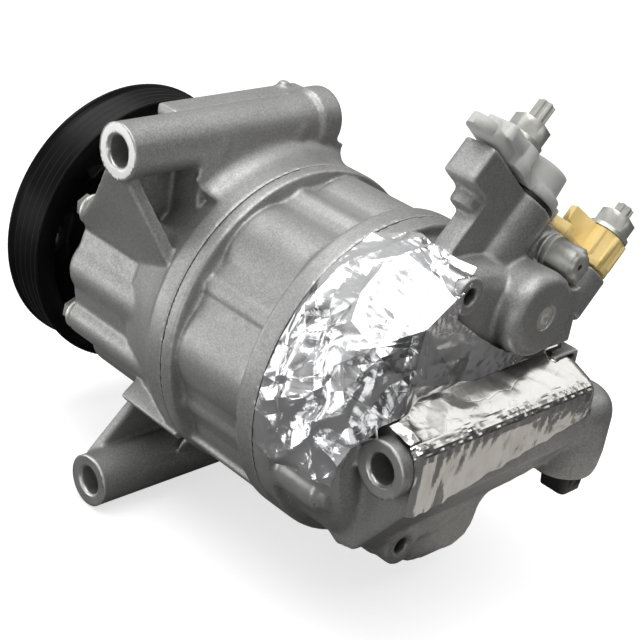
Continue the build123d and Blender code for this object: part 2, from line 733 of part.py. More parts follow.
# (radius, y)
HUB_OUTLINE = [(6.02, HUB_FRONT_Y), (10.5, HUB_FRONT_Y), (11.2, -13.6), (30.0, -12.8),
               (45.2, -12.8), (46.0, -12.2), (46.0, -10.4), (12, -10.4), (9.6, -9.6),
               (9.6, -2.5), (6.02, -2.5)]
with BuildPart() as drive_hub:
    with BuildSketch(Plane.XY):
        with BuildLine():
            Polyline(*HUB_OUTLINE, close=True)
        make_face()
    revolve(axis=Axis.Y)
    # drive pins
    with BuildSketch(sec(-10.5)):
        with PolarLocations(DAMPER_PCD_R, DAMPERS, 0):
            Circle(DAMPER_PIN_R)
    extrude(amount=-9.0)
    # slots in the disc
    with BuildSketch(sec(-14)):
        with PolarLocations(25, 3, 30):
            SlotOverall(16, 7, rotation=90)
    extrude(amount=-5, mode=Mode.SUBTRACT)
save("drive_hub", drive_hub.part)

HUB_NUT_BORE = 4.02
with BuildPart() as hub_nut:
    with BuildSketch(sec(HUB_FRONT_Y)):
        RegularPolygon(6.5, 6, major_radius=False)
        Circle(HUB_NUT_BORE, mode=Mode.SUBTRACT)
    extrude(amount=6.0)
    with BuildSketch(sec(HUB_FRONT_Y)):
        Circle(8.6)
        Circle(HUB_NUT_BORE, mode=Mode.SUBTRACT)
    extrude(amount=1.2)
save("hub_nut", hub_nut.part)

# ---------------------------------------------------------------- pulley bearing
BALLS = 12              # in each row
BALL_R = 3.0
BALL_PCD = 22.5         # radius of the ball circle
ROWS = (-2.2, 6.8)


def bearing_ring(inner_r, outer_r, front_y, rear_y):
    with BuildPart() as ring:
        with BuildSketch(Plane.XY):
            with BuildLine():
                Polyline(*box_outline(inner_r, outer_r, front_y, rear_y), close=True)
            make_face()
            for row_y in ROWS:
                with Locations((BALL_PCD, row_y)):
                    Circle(BALL_R + 0.05, mode=Mode.SUBTRACT)
        revolve(axis=Axis.Y)
    return ring.part


def circlip(y, inner_r, outer_r, gap_x):
    """Flat ring open on its +X side."""
    with BuildPart() as clip:
        with BuildSketch(sec(y)):
            Circle(outer_r)
            Circle(inner_r, mode=Mode.SUBTRACT)
            with Locations((gap_x, 0)):
                Rectangle(6, 5, mode=Mode.SUBTRACT)
        extrude(amount=-1.2)
    return clip.part


save("bearing_inner_ring", bearing_ring(17.5, 20.7, -6.6, 11.4))
save("bearing_outer_ring", bearing_ring(24.3, 27.5, -6.6, 11.2))

with BuildPart() as bearing_balls:
    for row_y in ROWS:
        with Locations(*ring_points(BALLS, BALL_PCD, row_y)):
            Sphere(BALL_R)
save("bearing_balls", bearing_balls.part)

with BuildPart() as bearing_cage:
    with BuildSketch(Plane.XY):
        with BuildLine():
            Polyline(*box_outline(21.8, 23.2, -5.5, 10.1), close=True)
        make_face()
    revolve(axis=Axis.Y)
    # one radial pocket for each ball
    for row_y in ROWS:
        rod(BALL_R + 0.2, 6, *radial_places(BALLS, BALL_PCD, row_y), mode=Mode.SUBTRACT)
save("bearing_cage", bearing_cage.part)

save("bearing_seals", revolved(*[box_outline(20.8, 24.3, y, y + 0.8) for y in (-6.4, 10.2)]))
save("bearing_circlip", circlip(-7.9, 16.5, 19.6, gap_x=18))

# ---------------------------------------------------------------- shaft and its seal
# (radius, y)
SHAFT_OUTLINE = [(0, -24), (3.6, -24), (4.0, -23.4), (4.0, -16), (6.0, -16), (6.0, -2.0),
                 (7.5, 0), (7.5, 17), (8.0, 18), (8.0, 104), (7.0, 104), (7.0, 121.5),
                 (6.5, 122), (0, 122)]
SEAL_OUTLINE = [(8.2, 1.4), (12.5, 1.4), (12.5, 12.5), (10.8, 12.5), (10.8, 5.0), (7.52, 9.0),
                (7.52, 7.4), (8.2, 5.5)]

with BuildPart() as shaft:
    with BuildSketch(Plane.XY):
        with BuildLine():
            Polyline(*SHAFT_OUTLINE, close=True)
        make_face()
    revolve(axis=Axis.Y)
    # blind hole in the rear end
    rod(2.0, 20, at_y(0, 118, 0), mode=Mode.SUBTRACT)
save("shaft", shaft.part)
save("shaft_seal", revolved(SEAL_OUTLINE))
save("seal_circlip", circlip(0.05, 10.6, 13.4, gap_x=12))


# ---------------------------------------------------------------- shaft bearings
def needle_cup(lip_r, outer_r, front_y, rear_y, wall, lip):
    """Thin shell with an inward lip at each end."""
    inner_r = outer_r - wall
    return revolved([
        (lip_r, front_y), (outer_r, front_y), (outer_r, rear_y), (lip_r, rear_y),
        (lip_r, rear_y - lip), (inner_r, rear_y - lip), (inner_r, front_y + lip),
        (lip_r, front_y + lip),
    ])


def needles(count, pitch_r, needle_r, y, length):
    with BuildPart() as needle_ring:
        with BuildSketch(sec(y)):
            with PolarLocations(pitch_r, count, 0):
                Circle(needle_r)
        extrude(amount=-length)
    return needle_ring.part


def thrust_washer(y, inner_r, outer_r):
    with BuildPart() as washer:
        with BuildSketch(sec(y)):
            Circle(outer_r)
            Circle(inner_r, mode=Mode.SUBTRACT)
        extrude(amount=-1.0)
    return washer.part


def thrust_rollers(y, inner_r, outer_r, count, pitch_r, pocket, length):
    """Caged radial rollers; y is the middle plane, pocket and length are radial."""
    with BuildPart() as rollers:
        with BuildSketch(sec(y - 0.5)):
            Circle(outer_r)
            Circle(inner_r, mode=Mode.SUBTRACT)
            with PolarLocations(pitch_r, count, 0):
                Rectangle(pocket, 2.3, mode=Mode.SUBTRACT)
        extrude(amount=-1.0)
        rod(1.0, length, *radial_places(count, pitch_r, y))
    return rollers.part


save("front_needle_cup", needle_cup(8.4, 12.5, 18.6, 31, wall=1.35, lip=0.8))
save("front_needles", needles(18, 9.58, 1.5, y=19.6, length=10.4))
save("front_thrust_washer", thrust_washer(34.0, 9, 26))
save("front_thrust_rollers",
     thrust_rollers(36.05, 9.5, 25.5, count=20, pitch_r=17.5, pocket=12.4, length=12.0))
save("rear_thrust_washer", thrust_washer(107.1, 7.6, 15.4))
save("rear_thrust_rollers",
     thrust_rollers(106.05, 7.6, 14.8, count=14, pitch_r=11.2, pocket=5.4, length=5.0))
save("rear_thrust_ring", thrust_washer(104.0, 7.0, 15.0))
save("rear_needle_cup", needle_cup(7.3, 9.9, 109.2, 121.6, wall=0.75, lip=0.7))
save("rear_needles", needles(22, 8.08, 1.02, y=110.1, length=10.6))

# ---------------------------------------------------------------- lug plate, swash plate
HINGE_Y, HINGE_Z = 65, 19.5
HINGE_PIN_R = 3.0
HINGE_HOLE_R = 3.02
# (radius, y)
LUG_OUTLINE = [(8.0, 37.1), (25.8, 37.1), (25.8, 38.4), (38, 38.4), (40, 40), (40, 46),
               (38, 48), (14, 48), (14, 52), (8.0, 52)]
SWASH_OUTLINE = [(8.2, 80), (20, 80), (22, 82), (22, 83), (25, SWASH_Y - 4),
                 (40.4, SWASH_Y - 4), (41, SWASH_Y - 3.4), (41, SWASH_Y + 3.4),
                 (40.4, SWASH_Y + 4), (25, SWASH_Y + 4), (20, 94), (14, 96), (8.2, 96)]

with BuildPart() as lug_plate:
    with BuildSketch(Plane.XY):
        with BuildLine():
            Polyline(*LUG_OUTLINE, close=True)
        make_face()
    revolve(axis=Axis.Y)
    # two hinge ears
    for x in (7.2, -7.2):
        block((x, 59.0, 18.5), (4.0, 24, 15))
    # balance weight opposite the hinge
    with BuildSketch(sec(48)):
        with Locations((0, -27)):
            RectangleRounded(34, 14, 3)
    extrude(amount=-8)
    with BuildSketch(side(-15)):
        with Locations((HINGE_Y, HINGE_Z)):
            Circle(HINGE_HOLE_R)
    extrude(amount=30, mode=Mode.SUBTRACT)
save("lug_plate", lug_plate.part)

with BuildPart() as hinge_pin:
    rod(HINGE_PIN_R, 20, at_x(0, HINGE_Y, HINGE_Z))
save("hinge_pin", hinge_pin.part)

with BuildPart() as swash_plate:
    with BuildSketch(Plane.XY):
        with BuildLine():
            Polyline(*SWASH_OUTLINE, close=True)
        make_face()
    revolve(axis=Axis.Y)
    # hinge arm with its pin hole, trimmed underneath
    block((0, 71.0, HINGE_Z), (10.0, 22, 10))
    with BuildSketch(side(-15)):
        with Locations((HINGE_Y, HINGE_Z)):
            Circle(HINGE_HOLE_R)
    extrude(amount=30, mode=Mode.SUBTRACT)
    with BuildSketch(side(-15)):
        with BuildLine():
            Polyline((59, 8), (80, 8), (80, 15.4), (59, 15.4), close=True)
        make_face()
    extrude(amount=30, mode=Mode.SUBTRACT)
save("swash_plate", swash_plate.part)

save("destroke_spring",
     coil_spring(wire_r=1.0, coil_r=10.6, pitch=5.0, height=25.2, base=(0, 53.2, 0)))
save("return_spring",
     coil_spring(wire_r=0.7, coil_r=10.4, pitch=2.2, height=6.0, base=(0, 97.0, 0)))

# ---------------------------------------------------------------- pistons and shoes
SHOE_R = 7.2
PISTON_FRONT_Y, PISTON_REAR_Y = 107, 139.5
BRIDGE_R = (28.4, 44.2)     # radial extent of the piston's front bridge
BRIDGE_Y = (76, 107.5)


def split_sphere(radius, gap):
    """Two ball caps on the first cylinder's axis, either side of the swash plate."""
    with BuildPart() as caps:
        with Locations((CYL_PCD_R, SWASH_Y, 0)):
            Sphere(radius)
        block((CYL_PCD_R, SWASH_Y, 0), (20, gap, 20), mode=Mode.SUBTRACT)
    return caps.part


def per_cylinder(part):
    """A copy of a part for every cylinder; the part lies on the +X side."""
    with BuildPart() as copies:
        with Locations(*[Location((0, 0, 0), (0, -a, 0)) for a in cyl_angles]):
            add(part)
    return copies.part


shoe_pockets = split_sphere(SHOE_R + 0.04, 10.0)
with BuildPart() as one_piston:
    with BuildSketch(sec(PISTON_FRONT_Y)):
        with Locations((CYL_PCD_R, 0)):
            Circle(PISTON_R)
    extrude(amount=-(PISTON_REAR_Y - PISTON_FRONT_Y))
    block((sum(BRIDGE_R) / 2, sum(BRIDGE_Y) / 2, 0),
          (BRIDGE_R[1] - BRIDGE_R[0], BRIDGE_Y[1] - BRIDGE_Y[0], 15.4))
    # gap for the swash plate
    block((CYL_PCD_R - 4.3, SWASH_Y, 0), (21.6, 10.6, 20), mode=Mode.SUBTRACT)
    add(shoe_pockets, mode=Mode.SUBTRACT)
save("pistons", per_cylinder(one_piston.part))
save("piston_shoes", per_cylinder(split_sphere(SHOE_R, 8.06)))

# ---------------------------------------------------------------- check valve in the muffler
MUFFLER_FIT_R = 4.18

with BuildPart() as check_valve_seat:
    rod(MUFFLER_FIT_R, 2.0, at_muffler(171.0))
    rod(2.0, 3.0, at_muffler(171.0), mode=Mode.SUBTRACT)
save("check_valve_seat", check_valve_seat.part)

with BuildPart() as check_valve_poppet:
    rod(3.2, 1.3, at_muffler(172.7))
    rod(1.5, 2.2, at_muffler(174.2))
save("check_valve_poppet", check_valve_poppet.part)

save("check_valve_spring",
     coil_spring(wire_r=0.35, coil_r=2.4, pitch=1.6, height=6.6, base=(MUF_X, 173.8, MUF_Z)))

with BuildPart() as muffler_plug:
    rod(MUFFLER_FIT_R, 3.8, at_muffler(182.9))
    # hexagon socket
    with BuildSketch(sec(182.6)):
        with Locations((MUF_X, MUF_Z)):
            RegularPolygon(2.4, 6, major_radius=False)
    extrude(amount=-3, mode=Mode.SUBTRACT)
save("muffler_plug", muffler_plug.part)

# ---------------------------------------------------------------- relief valve
with BuildPart() as relief_valve_body:
    # threaded end, collar, hexagon and rear neck
    rod(3.98, 3.6, at_relief(167.4))
    rod(7.2, 1.9, at_relief(170.0))
    with BuildSketch(sec(170.5)):
        with Locations((REL_X, REL_Z)):
            RegularPolygon(5.7, 6, major_radius=False)
    extrude(amount=-9.8)
    rod(4.9, 1.4, at_relief(180.8))
    # spring chamber and through hole
    rod(2.8, 10.2, at_relief(174.4), mode=Mode.SUBTRACT)
    rod(1.2, 26, at_relief(174), mode=Mode.SUBTRACT)
save("relief_valve_body", relief_valve_body.part)

with BuildPart() as relief_valve_poppet:
    rod(2.74, 2.2, at_relief(170.45))
    rod(1.0, 2.2, at_relief(172.4))
save("relief_valve_poppet", relief_valve_poppet.part)

save("relief_valve_spring",
     coil_spring(wire_r=0.35, coil_r=1.85, pitch=1.45, height=6.9, base=(REL_X, 172.1, REL_Z)))

# ---------------------------------------------------------------- control valve, upright
ORING_GROOVE_Z = (-15.5, -9.5, -4.6)    # bottoms of the O-ring grooves
CONNECTOR_X, CONNECTOR_Y = VALVE_X - 1.0, VALVE_Y + 1.5

with BuildPart() as control_valve_body:
    with BuildSketch(valve_plane(-19.0)):
        Circle(7.96)
    extrude(amount=16.5)
    for z in ORING_GROOVE_Z:
        with BuildSketch(valve_plane(z)):
            Circle(8.2)
            Circle(6.4, mode=Mode.SUBTRACT)
        extrude(amount=1.7, mode=Mode.SUBTRACT)
    # plunger bore and cross holes
    with BuildSketch(valve_plane(-19.5)):
        Circle(2.55)
    extrude(amount=18, mode=Mode.SUBTRACT)
    rod(1.0, 20, at_x(VALVE_X, VALVE_Y, -12.3), at_x(VALVE_X, VALVE_Y, -6.3),
        mode=Mode.SUBTRACT)
save("control_valve_body", control_valve_body.part)

with BuildPart() as control_valve_orings:
    for z in ORING_GROOVE_Z:
        with BuildSketch(valve_plane(z + 0.1)):
            Circle(7.98)
            Circle(6.42, mode=Mode.SUBTRACT)
        extrude(amount=1.5)
save("control_valve_orings", control_valve_orings.part)

with BuildPart() as control_valve_plunger:
    # core in the coil and stem above it: z, radius, length
    for z, radius, length in ((-29.0, 4.0, 8.0), (-21.5, 2.5, 15.0)):
        with BuildSketch(valve_plane(z)):
            Circle(radius)
        extrude(amount=length)
    # waist in the stem
    with BuildSketch(valve_plane(-13.2)):
        Circle(3.0)
        Circle(1.6, mode=Mode.SUBTRACT)
    extrude(amount=2.0, mode=Mode.SUBTRACT)
save("control_valve_plunger", control_valve_plunger.part)

with BuildPart() as control_valve_solenoid:
    # coil housing, open core for the plunger
    with BuildSketch(valve_plane(-31.6)):
        Circle(11.0)
    extrude(amount=12.4)
    with BuildSketch(valve_plane(-30.4)):
        Circle(4.06)
    extrude(amount=12, mode=Mode.SUBTRACT)
save("control_valve_solenoid", control_valve_solenoid.part)

save("control_valve_spring",
     coil_spring(wire_r=0.35, coil_r=1.6, pitch=1.6, height=3.6,
                 base=(VALVE_X, VALVE_Y, -6.0), axis=(0, 0, 1)))

with BuildPart() as control_valve_connector:
    # plug shell under the coil, mouth facing down, with two contact blades
    with BuildSketch(Plane(origin=(CONNECTOR_X, CONNECTOR_Y, -31.7), z_dir=(0, 0, -1))):
        RectangleRounded(13, 13, 3)
    extrude(amount=8.2, taper=6)
    with BuildSketch(Plane(origin=(CONNECTOR_X, CONNECTOR_Y, -40.5), z_dir=(0, 0, 1))):
        RectangleRounded(7.6, 7.6, 1.6)
    extrude(amount=5.5, mode=Mode.SUBTRACT)
    with BuildSketch(Plane(origin=(CONNECTOR_X, CONNECTOR_Y, -35.2), z_dir=(0, 0, -1))):
        with Locations((-1.6, 0), (1.6, 0)):
            Rectangle(0.8, 1.6)
    extrude(amount=3.6)
save("control_valve_connector", control_valve_connector.part)

# ---------------------------------------------------------------- port studs, caps, nuts
STUD_R = 3.98
STUD_CLEAR_R = 4.15
SPLINE_N = 19.4         # where the splined end starts, above the port seats
STUD_TOP = 27.5
SUCTION_MID = ((SUC_X + SUC_STUD_X) / 2, 0)
DISCHARGE_TURN = math.degrees(math.atan2(DIS_STUD_Y - DIS_Y, DIS_STUD_X - DIS_X))
DISCHARGE_MID = Location(((DIS_X + DIS_STUD_X) / 2, (DIS_Y + DIS_STUD_Y) / 2, 0),
                         (0, 0, DISCHARGE_TURN))

with BuildPart() as port_studs:
    for place, depth in ((SUCTION_STUD, 10.5), (DISCHARGE_STUD, 11.5)):
        with BuildSketch(PORT.offset(-depth)):
            with Locations(place):
                Circle(STUD_R)
        extrude(amount=depth + 19.5)
        # externally splined driving end
        with BuildSketch(PORT.offset(SPLINE_N)):
            with Locations(place):
                Circle(2.5)
                with PolarLocations(2.5, 6, 0):
                    Circle(0.75)
        extrude(amount=STUD_TOP - SPLINE_N)
save("port_studs", port_studs.part)

with BuildPart() as suction_cap_seal:
    with BuildSketch(PORT):
        with Locations(SUCTION):
            Circle(12.0)
            Circle(SUC_BORE + 0.6, mode=Mode.SUBTRACT)
    extrude(amount=1.6)
save("suction_cap_seal", suction_cap_seal.part)

with BuildPart() as suction_port_cap:
    # base plate with a tab at one end and a small lobe at the other
    with BuildSketch(PORT.offset(1.6)):
        with Locations(SUCTION):
            Circle(11.6)
        with Locations(SUCTION_STUD):
            Circle(8.6)
        with Locations(SUCTION_MID):
            Rectangle(20, 15)
        with Locations((-50, 0)):
            Rectangle(18, 11.0)
        with Locations((-58.4, 0)):
            Circle(5.5)
        with Locations((-7.0, -5.0)):
            Circle(3.2)
    extrude(amount=4.2)
    # tapered hump on the tab
    with BuildSketch(PORT.offset(5.5)):
        with Locations((-46.5, 0)):
            RectangleRounded(14, 14.4, 3)
    extrude(amount=5.4, taper=8)
    # dome over the port, tower round the stud, ribs
    with BuildSketch(PORT.offset(4.5)):
        with Locations(SUCTION):
            Circle(10.0)
    extrude(amount=9.8, taper=5)
    with BuildSketch(PORT.offset(4.5)):
        with Locations(SUCTION_STUD):
            Circle(7.8)
    extrude(amount=6.9)
    with BuildSketch(PORT.offset(4.5)):
        with Locations(SUCTION_MID):
            Rectangle(14, 4)
        with Locations((-49, 0)):
            Rectangle(12, 3)
    extrude(amount=5.0)
    # plug that enters the port
    with BuildSketch(PORT.offset(-7)):
        with Locations(SUCTION):
            Circle(SUC_BORE - 0.1)
    extrude(amount=9.0)
    # hollow of the dome, and the stud hole: offset, place, radius, height
    for offset, place, radius, height in ((-8, SUCTION, 6.2, 20),
                                          (0, SUCTION_STUD, STUD_CLEAR_R, 16)):
        with BuildSketch(PORT.offset(offset)):
            with Locations(place):
                Circle(radius)
        extrude(amount=height, mode=Mode.SUBTRACT)
save("suction_port_cap", suction_port_cap.part)

with BuildPart() as discharge_port_cap:
    # base plate
    with BuildSketch(PORT.offset(1.2)):
        with Locations(DISCHARGE):
            Circle(9.0)
        with Locations(DISCHARGE_STUD):
            Circle(8.4)
        with Locations(DISCHARGE_MID):
            Rectangle(19, 13)
    extrude(amount=2.6)
    # lobed boss over the port
    with BuildSketch(PORT.offset(3.7)):
        with Locations(DISCHARGE):
            Circle(7.6)
            with PolarLocations(6.6, 4, DISCHARGE_TURN):
                Circle(2.4)
    extrude(amount=2.6)
    # ribs round the stud tower, then the tower and its web to the port
    with BuildSketch(PORT.offset(3.7)):
        with Locations(DISCHARGE_STUD):
            with PolarLocations(7.4, 8, DISCHARGE_TURN):
                Circle(1.3)
    extrude(amount=10.6)
    with BuildSketch(PORT.offset(3.7)):
        with Locations(DISCHARGE_STUD):
            Circle(7.6)
        with Locations(DISCHARGE_MID):
            Rectangle(16, 4)
    extrude(amount=11.2)
    # plug that enters the port
    with BuildSketch(PORT.offset(-6)):
        with Locations(DISCHARGE):
            Circle(DIS_BORE - 0.1)
    extrude(amount=8.0)
    # hole through the plug, and the stud hole: offset, place, radius, height
    for offset, place, radius, height in ((-7, DISCHARGE, 3.6, 16),
                                          (0, DISCHARGE_STUD, STUD_CLEAR_R, 20)):
        with BuildSketch(PORT.offset(offset)):
            with Locations(place):
                Circle(radius)
        extrude(amount=height, mode=Mode.SUBTRACT)
save("discharge_port_cap", discharge_port_cap.part)


def cap_nut(place, offset, collar_r, hex_r):
    """Hexagon nut with a collar, its collar starting at an offset above the port seats."""
    with BuildPart() as nut:
        with BuildSketch(PORT.offset(offset)):
            with Locations(place):
                Circle(collar_r)
                Circle(STUD_CLEAR_R, mode=Mode.SUBTRACT)
        extrude(amount=1.6)
        with BuildSketch(PORT.offset(offset + 1.5)):
            with Locations(place):
                RegularPolygon(hex_r, 6, major_radius=False)
                Circle(STUD_CLEAR_R, mode=Mode.SUBTRACT)
        extrude(amount=6.4)
    return nut.part


save("suction_cap_nut", cap_nut(SUCTION_STUD, 11.5, collar_r=7.6, hex_r=6.0))
save("discharge_cap_nut", cap_nut(DISCHARGE_STUD, 15.1, collar_r=7.9, hex_r=5.9))

# ---------------------------------------------------------------- foil heat shield
# Thin sheet, kept clear of the castings
# (y, z)
FOIL_BOX = [(Y_BOX + 0.9, -14.0), (Y_BOX + 1.6, -14.0), (Y_BOX + 1.6, 7.4),
            (Y_BOX - 1.2, 10.4), (178.4, 16.2), (178.4, 15.3), (Y_BOX - 1.5, 9.6),
            (Y_BOX + 0.9, 7.0)]
# (radius, y)
FOIL_DOME = [(59.3, 141.6), (59.9, 141.6), (59.9, 168.2), (51, 176.7), (22, 176.7),
             (22, 176.1), (50.7, 176.1), (59.3, 167.9)]
# (x, z)
FOIL_LAP = [(-38.5, 15.4), (-38.5, 16.8), (-26, 18.8), (-12, 22.5), (3, 33.5), (12, 40),
            (30, 30), (39.5, 15.4)]

with BuildPart() as foil_over_box:
    with BuildSketch(side(39.5)):
        with BuildLine():
            Polyline(*FOIL_BOX, close=True)
        make_face()
    extrude(amount=-78)
with BuildPart() as foil_dome:
    # round the rear housing, from the joint over the shoulder to the rear face
    with BuildSketch(Plane.XY):
        with BuildLine():
            Polyline(*FOIL_DOME, close=True)
        make_face()
    revolve(axis=Axis.Y, revolution_arc=94)
with BuildPart() as foil_lap:
    # lap down to the top of the cross box
    with BuildSketch(sec(176.1)):
        with BuildLine():
            Polyline(*FOIL_LAP, close=True)
        make_face()
    extrude(amount=-0.6)
# turn the dome up over the +X side, then clear the cross box, the ear and the upper bolt boss
foil_rear = Location((0, 0, 0), (0, -84, 0)) * foil_dome.part
foil_rear = foil_rear - Pos(-2, 186, -13) * Box(100, 24, 60)
foil_rear = foil_rear + foil_lap.part
foil_rear = foil_rear - Pos(52, EAR_Y, EAR_Z) * Rot(0, 90, 0) * Cylinder(11.4, 44)
foil_rear = foil_rear - Pos(7.97, 172, 48.65) * Rot(-90, 0, 0) * Cylinder(8.6, 24)
with BuildPart() as heat_shield_foil:
    add(foil_over_box.part)
    add(foil_rear)
save("heat_shield_foil", heat_shield_foil.part)
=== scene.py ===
# A swash-plate compressor with its drive pulley. The shaft lies along Y through the origin:
# the pulley is at the low-y end, the rear housing with its ports and foil heat shield at the
# high-y end, and Z is up. Castings and foil are worked in mm and stored in metres.
import bpy
import bmesh
import json
import math
import numpy as np
from mathutils import Vector, Matrix
from mathutils.bvhtree import BVHTree

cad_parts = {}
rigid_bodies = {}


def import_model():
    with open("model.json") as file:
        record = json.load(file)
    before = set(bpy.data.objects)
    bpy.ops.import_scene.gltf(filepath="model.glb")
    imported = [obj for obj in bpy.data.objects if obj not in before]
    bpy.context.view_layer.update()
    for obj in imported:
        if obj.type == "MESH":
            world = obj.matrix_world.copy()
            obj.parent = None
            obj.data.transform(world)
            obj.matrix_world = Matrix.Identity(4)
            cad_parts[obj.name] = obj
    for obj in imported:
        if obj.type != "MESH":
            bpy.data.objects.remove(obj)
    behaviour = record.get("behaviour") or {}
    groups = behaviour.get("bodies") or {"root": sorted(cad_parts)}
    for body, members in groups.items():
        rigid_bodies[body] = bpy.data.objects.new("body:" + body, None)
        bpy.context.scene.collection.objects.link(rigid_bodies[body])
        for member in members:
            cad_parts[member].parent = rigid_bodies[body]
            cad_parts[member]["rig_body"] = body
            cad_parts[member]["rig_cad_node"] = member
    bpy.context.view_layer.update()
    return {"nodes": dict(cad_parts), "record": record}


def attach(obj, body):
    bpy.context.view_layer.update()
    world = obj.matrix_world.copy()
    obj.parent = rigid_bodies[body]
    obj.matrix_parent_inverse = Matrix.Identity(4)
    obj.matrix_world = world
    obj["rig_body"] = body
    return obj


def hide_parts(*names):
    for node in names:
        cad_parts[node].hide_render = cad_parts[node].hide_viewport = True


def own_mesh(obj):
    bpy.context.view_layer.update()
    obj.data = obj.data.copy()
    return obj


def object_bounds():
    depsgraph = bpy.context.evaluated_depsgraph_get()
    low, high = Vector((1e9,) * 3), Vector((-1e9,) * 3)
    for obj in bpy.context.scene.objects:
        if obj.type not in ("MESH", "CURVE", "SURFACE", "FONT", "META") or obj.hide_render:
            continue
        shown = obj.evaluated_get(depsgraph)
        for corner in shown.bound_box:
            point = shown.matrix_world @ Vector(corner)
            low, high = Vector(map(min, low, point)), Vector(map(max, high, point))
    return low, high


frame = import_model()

NODES = frame["nodes"]
MM = 0.001

# Castings, mm
VOXEL = 0.7
SMOOTH_ROUNDS = 9
LUG_RADIUS = 10.0
FRONT_LUG_FACE_X = 65.0
FRONT_LUGS = [(65.4, 65.0), (65.4, -66.0)]      # y, z of the two lug bores
FRONT_BORE = 5.5
REAR_LUG_FACE_X = 46.0
REAR_LUG = (185.9, 0.5)                         # y, z of the lug bore
REAR_BORE = 5.25

# Port face: its normal leans from -X up towards +Z
PORT_TILT = math.radians(48)
PORT_NORMAL = np.array((-math.cos(PORT_TILT), 0, math.sin(PORT_TILT)))
PORT_ACROSS = np.array((-math.sin(PORT_TILT), 0, -math.cos(PORT_TILT)))
PORT_REACH = 73.5                               # from the shaft axis to the face
PORT_CENTRE = np.array((PORT_REACH * PORT_NORMAL[0], 157.4, PORT_REACH * PORT_NORMAL[2]))

# Foil, mm
FOIL_THICKNESS = 0.12
FOIL_GAP = 0.30                                 # least distance off the casting
FOIL_STEP = 0.55              # grid step of the sheet over the box


# ------------------------------------------------------------------ shader nodes
class Shader:
    """Adds nodes to one shader tree. Any input takes a socket to link or a plain value."""

    def __init__(self, tree):
        tree.nodes.clear()
        self.tree = tree

    def fill(self, node, inputs):
        for key, value in inputs.items():
            socket = node.inputs[key]
            if isinstance(value, bpy.types.NodeSocket):
                self.tree.links.new(value, socket)
            elif socket.type == "RGBA":
                socket.default_value = (*value, 1.0)
            else:
                socket.default_value = value

    def node(self, kind, inputs=None, **settings):
        node = self.tree.nodes.new("ShaderNode" + kind)
        for key, value in settings.items():
            setattr(node, key, value)
        self.fill(node, inputs or {})
        return node

    def place(self, scale=(1, 1, 1), rotation=(0, 0, 0)):
        """Object coordinates, scaled and turned."""
        source = self.node("TexCoord").outputs["Object"]
        inputs = {0: source, "Scale": scale, "Rotation": rotation}
        return self.node("Mapping", inputs).outputs[0]

    def noise(self, place, scale, detail, rough, warp=0.0):
        inputs = {"Vector": place, "Scale": scale, "Detail": detail,
                  "Roughness": rough, "Distortion": warp}
        return self.node("TexNoise", inputs).outputs[0]

    def math(self, operation, first, second):
        return self.node("Math", {0: first, 1: second}, operation=operation).outputs[0]

    def mix(self, factor, under, over, mode="MIX"):
        inputs = {0: factor, 6: under, 7: over}
        return self.node("Mix", inputs, data_type="RGBA", blend_type=mode).outputs[2]

    def ramp(self, source, *stops):
        """Maps source to grey through stops of (position, value)."""
        node = self.node("ValToRGB", {0: source})
        elements = node.color_ramp.elements
        while len(elements) < len(stops):
            elements.new(0.5)
        for element, (position, value) in zip(elements, stops):
            element.position = position
            element.color = (value, value, value, 1)
        return node.outputs[0]

    def spread(self, source, low, high):
        """Stretches the middle range of a noise to run from low to high."""
        return self.ramp(source, (0.3, low), (0.7, high))

    def bump(self, height, strength, distance, normal=None):
        inputs = {"Strength": strength, "Distance": distance, "Height": height}
        if normal is not None:
            inputs["Normal"] = normal
        return self.node("Bump", inputs).outputs[0]

    def bevel(self, radius_mm):
        return self.node("Bevel", {"Radius": radius_mm * MM}, samples=4).outputs[0]

    def paint_hollow_shade(self, colour, reach_mm, *stops):
        # painted shade: the colour is darkened where ambient occlusion finds hollows within
        # reach_mm
        node = self.node("AmbientOcclusion", {"Distance": reach_mm * MM}, samples=6)
        return self.mix(1.0, colour, self.ramp(node.outputs["AO"], *stops), mode="MULTIPLY")


def new_material(name):
    """A material, its Shader and its Principled node."""
    material = bpy.data.materials.new(name)
    material.use_nodes = True
    sh = Shader(material.node_tree)
    output = sh.node("OutputMaterial")
    surface = sh.node("BsdfPrincipled")
    sh.fill(output, {0: surface.outputs[0]})
    return material, sh, surface


# ------------------------------------------------------------------ materials
def cast_aluminium():
    material, sh, surface = new_material("cast_aluminium")
    place = sh.place()
    grain = sh.noise(place, scale=1500, detail=3, rough=0.6)
    dimples = sh.noise(place, scale=420, detail=4, rough=0.6)
    patch = sh.noise(place, scale=28, detail=5, rough=0.6, warp=0.6)
    stain = sh.noise(sh.place(scale=(1, 0.35, 1)), scale=60, detail=6, rough=0.65, warp=1.2)
    colour = sh.mix(sh.spread(patch, 0.0, 1.0),
                    under=(0.30, 0.30, 0.297), over=(0.39, 0.39, 0.383))
    for source, start, end, amount, tone in (
        (stain, 0.58, 0.76, 0.4, (0.25, 0.235, 0.21)),
        (grain, 0.40, 0.62, 0.50, (0.60, 0.60, 0.59)),
        (dimples, 0.52, 0.72, 0.20, (0.24, 0.24, 0.235)),
    ):
        colour = sh.mix(sh.ramp(source, (start, 0.0), (end, amount)), under=colour, over=tone)
    # painted shade in the casting's hollows and corners
    colour = sh.paint_hollow_shade(colour, 9, (0.15, 0.30), (0.75, 1.0))
    # convex corners painted bright: a painted highlight
    corners = sh.node("NewGeometry").outputs["Pointiness"]
    edge_highlight = sh.ramp(corners, (0.515, 0.0), (0.56, 0.55))
    colour = sh.mix(edge_highlight, under=colour, over=(0.72, 0.72, 0.70))
    roughness = sh.spread(dimples, 0.40, 0.54)
    height = sh.math("ADD", sh.math("MULTIPLY", grain, 0.55), sh.math("MULTIPLY", dimples, 1.0))
    sh.fill(surface, {
        "Base Color": colour,
        "Metallic": 0.74,
        "Roughness": roughness,
        "Normal": sh.bump(height, strength=0.32, distance=0.00012),
    })
    return material


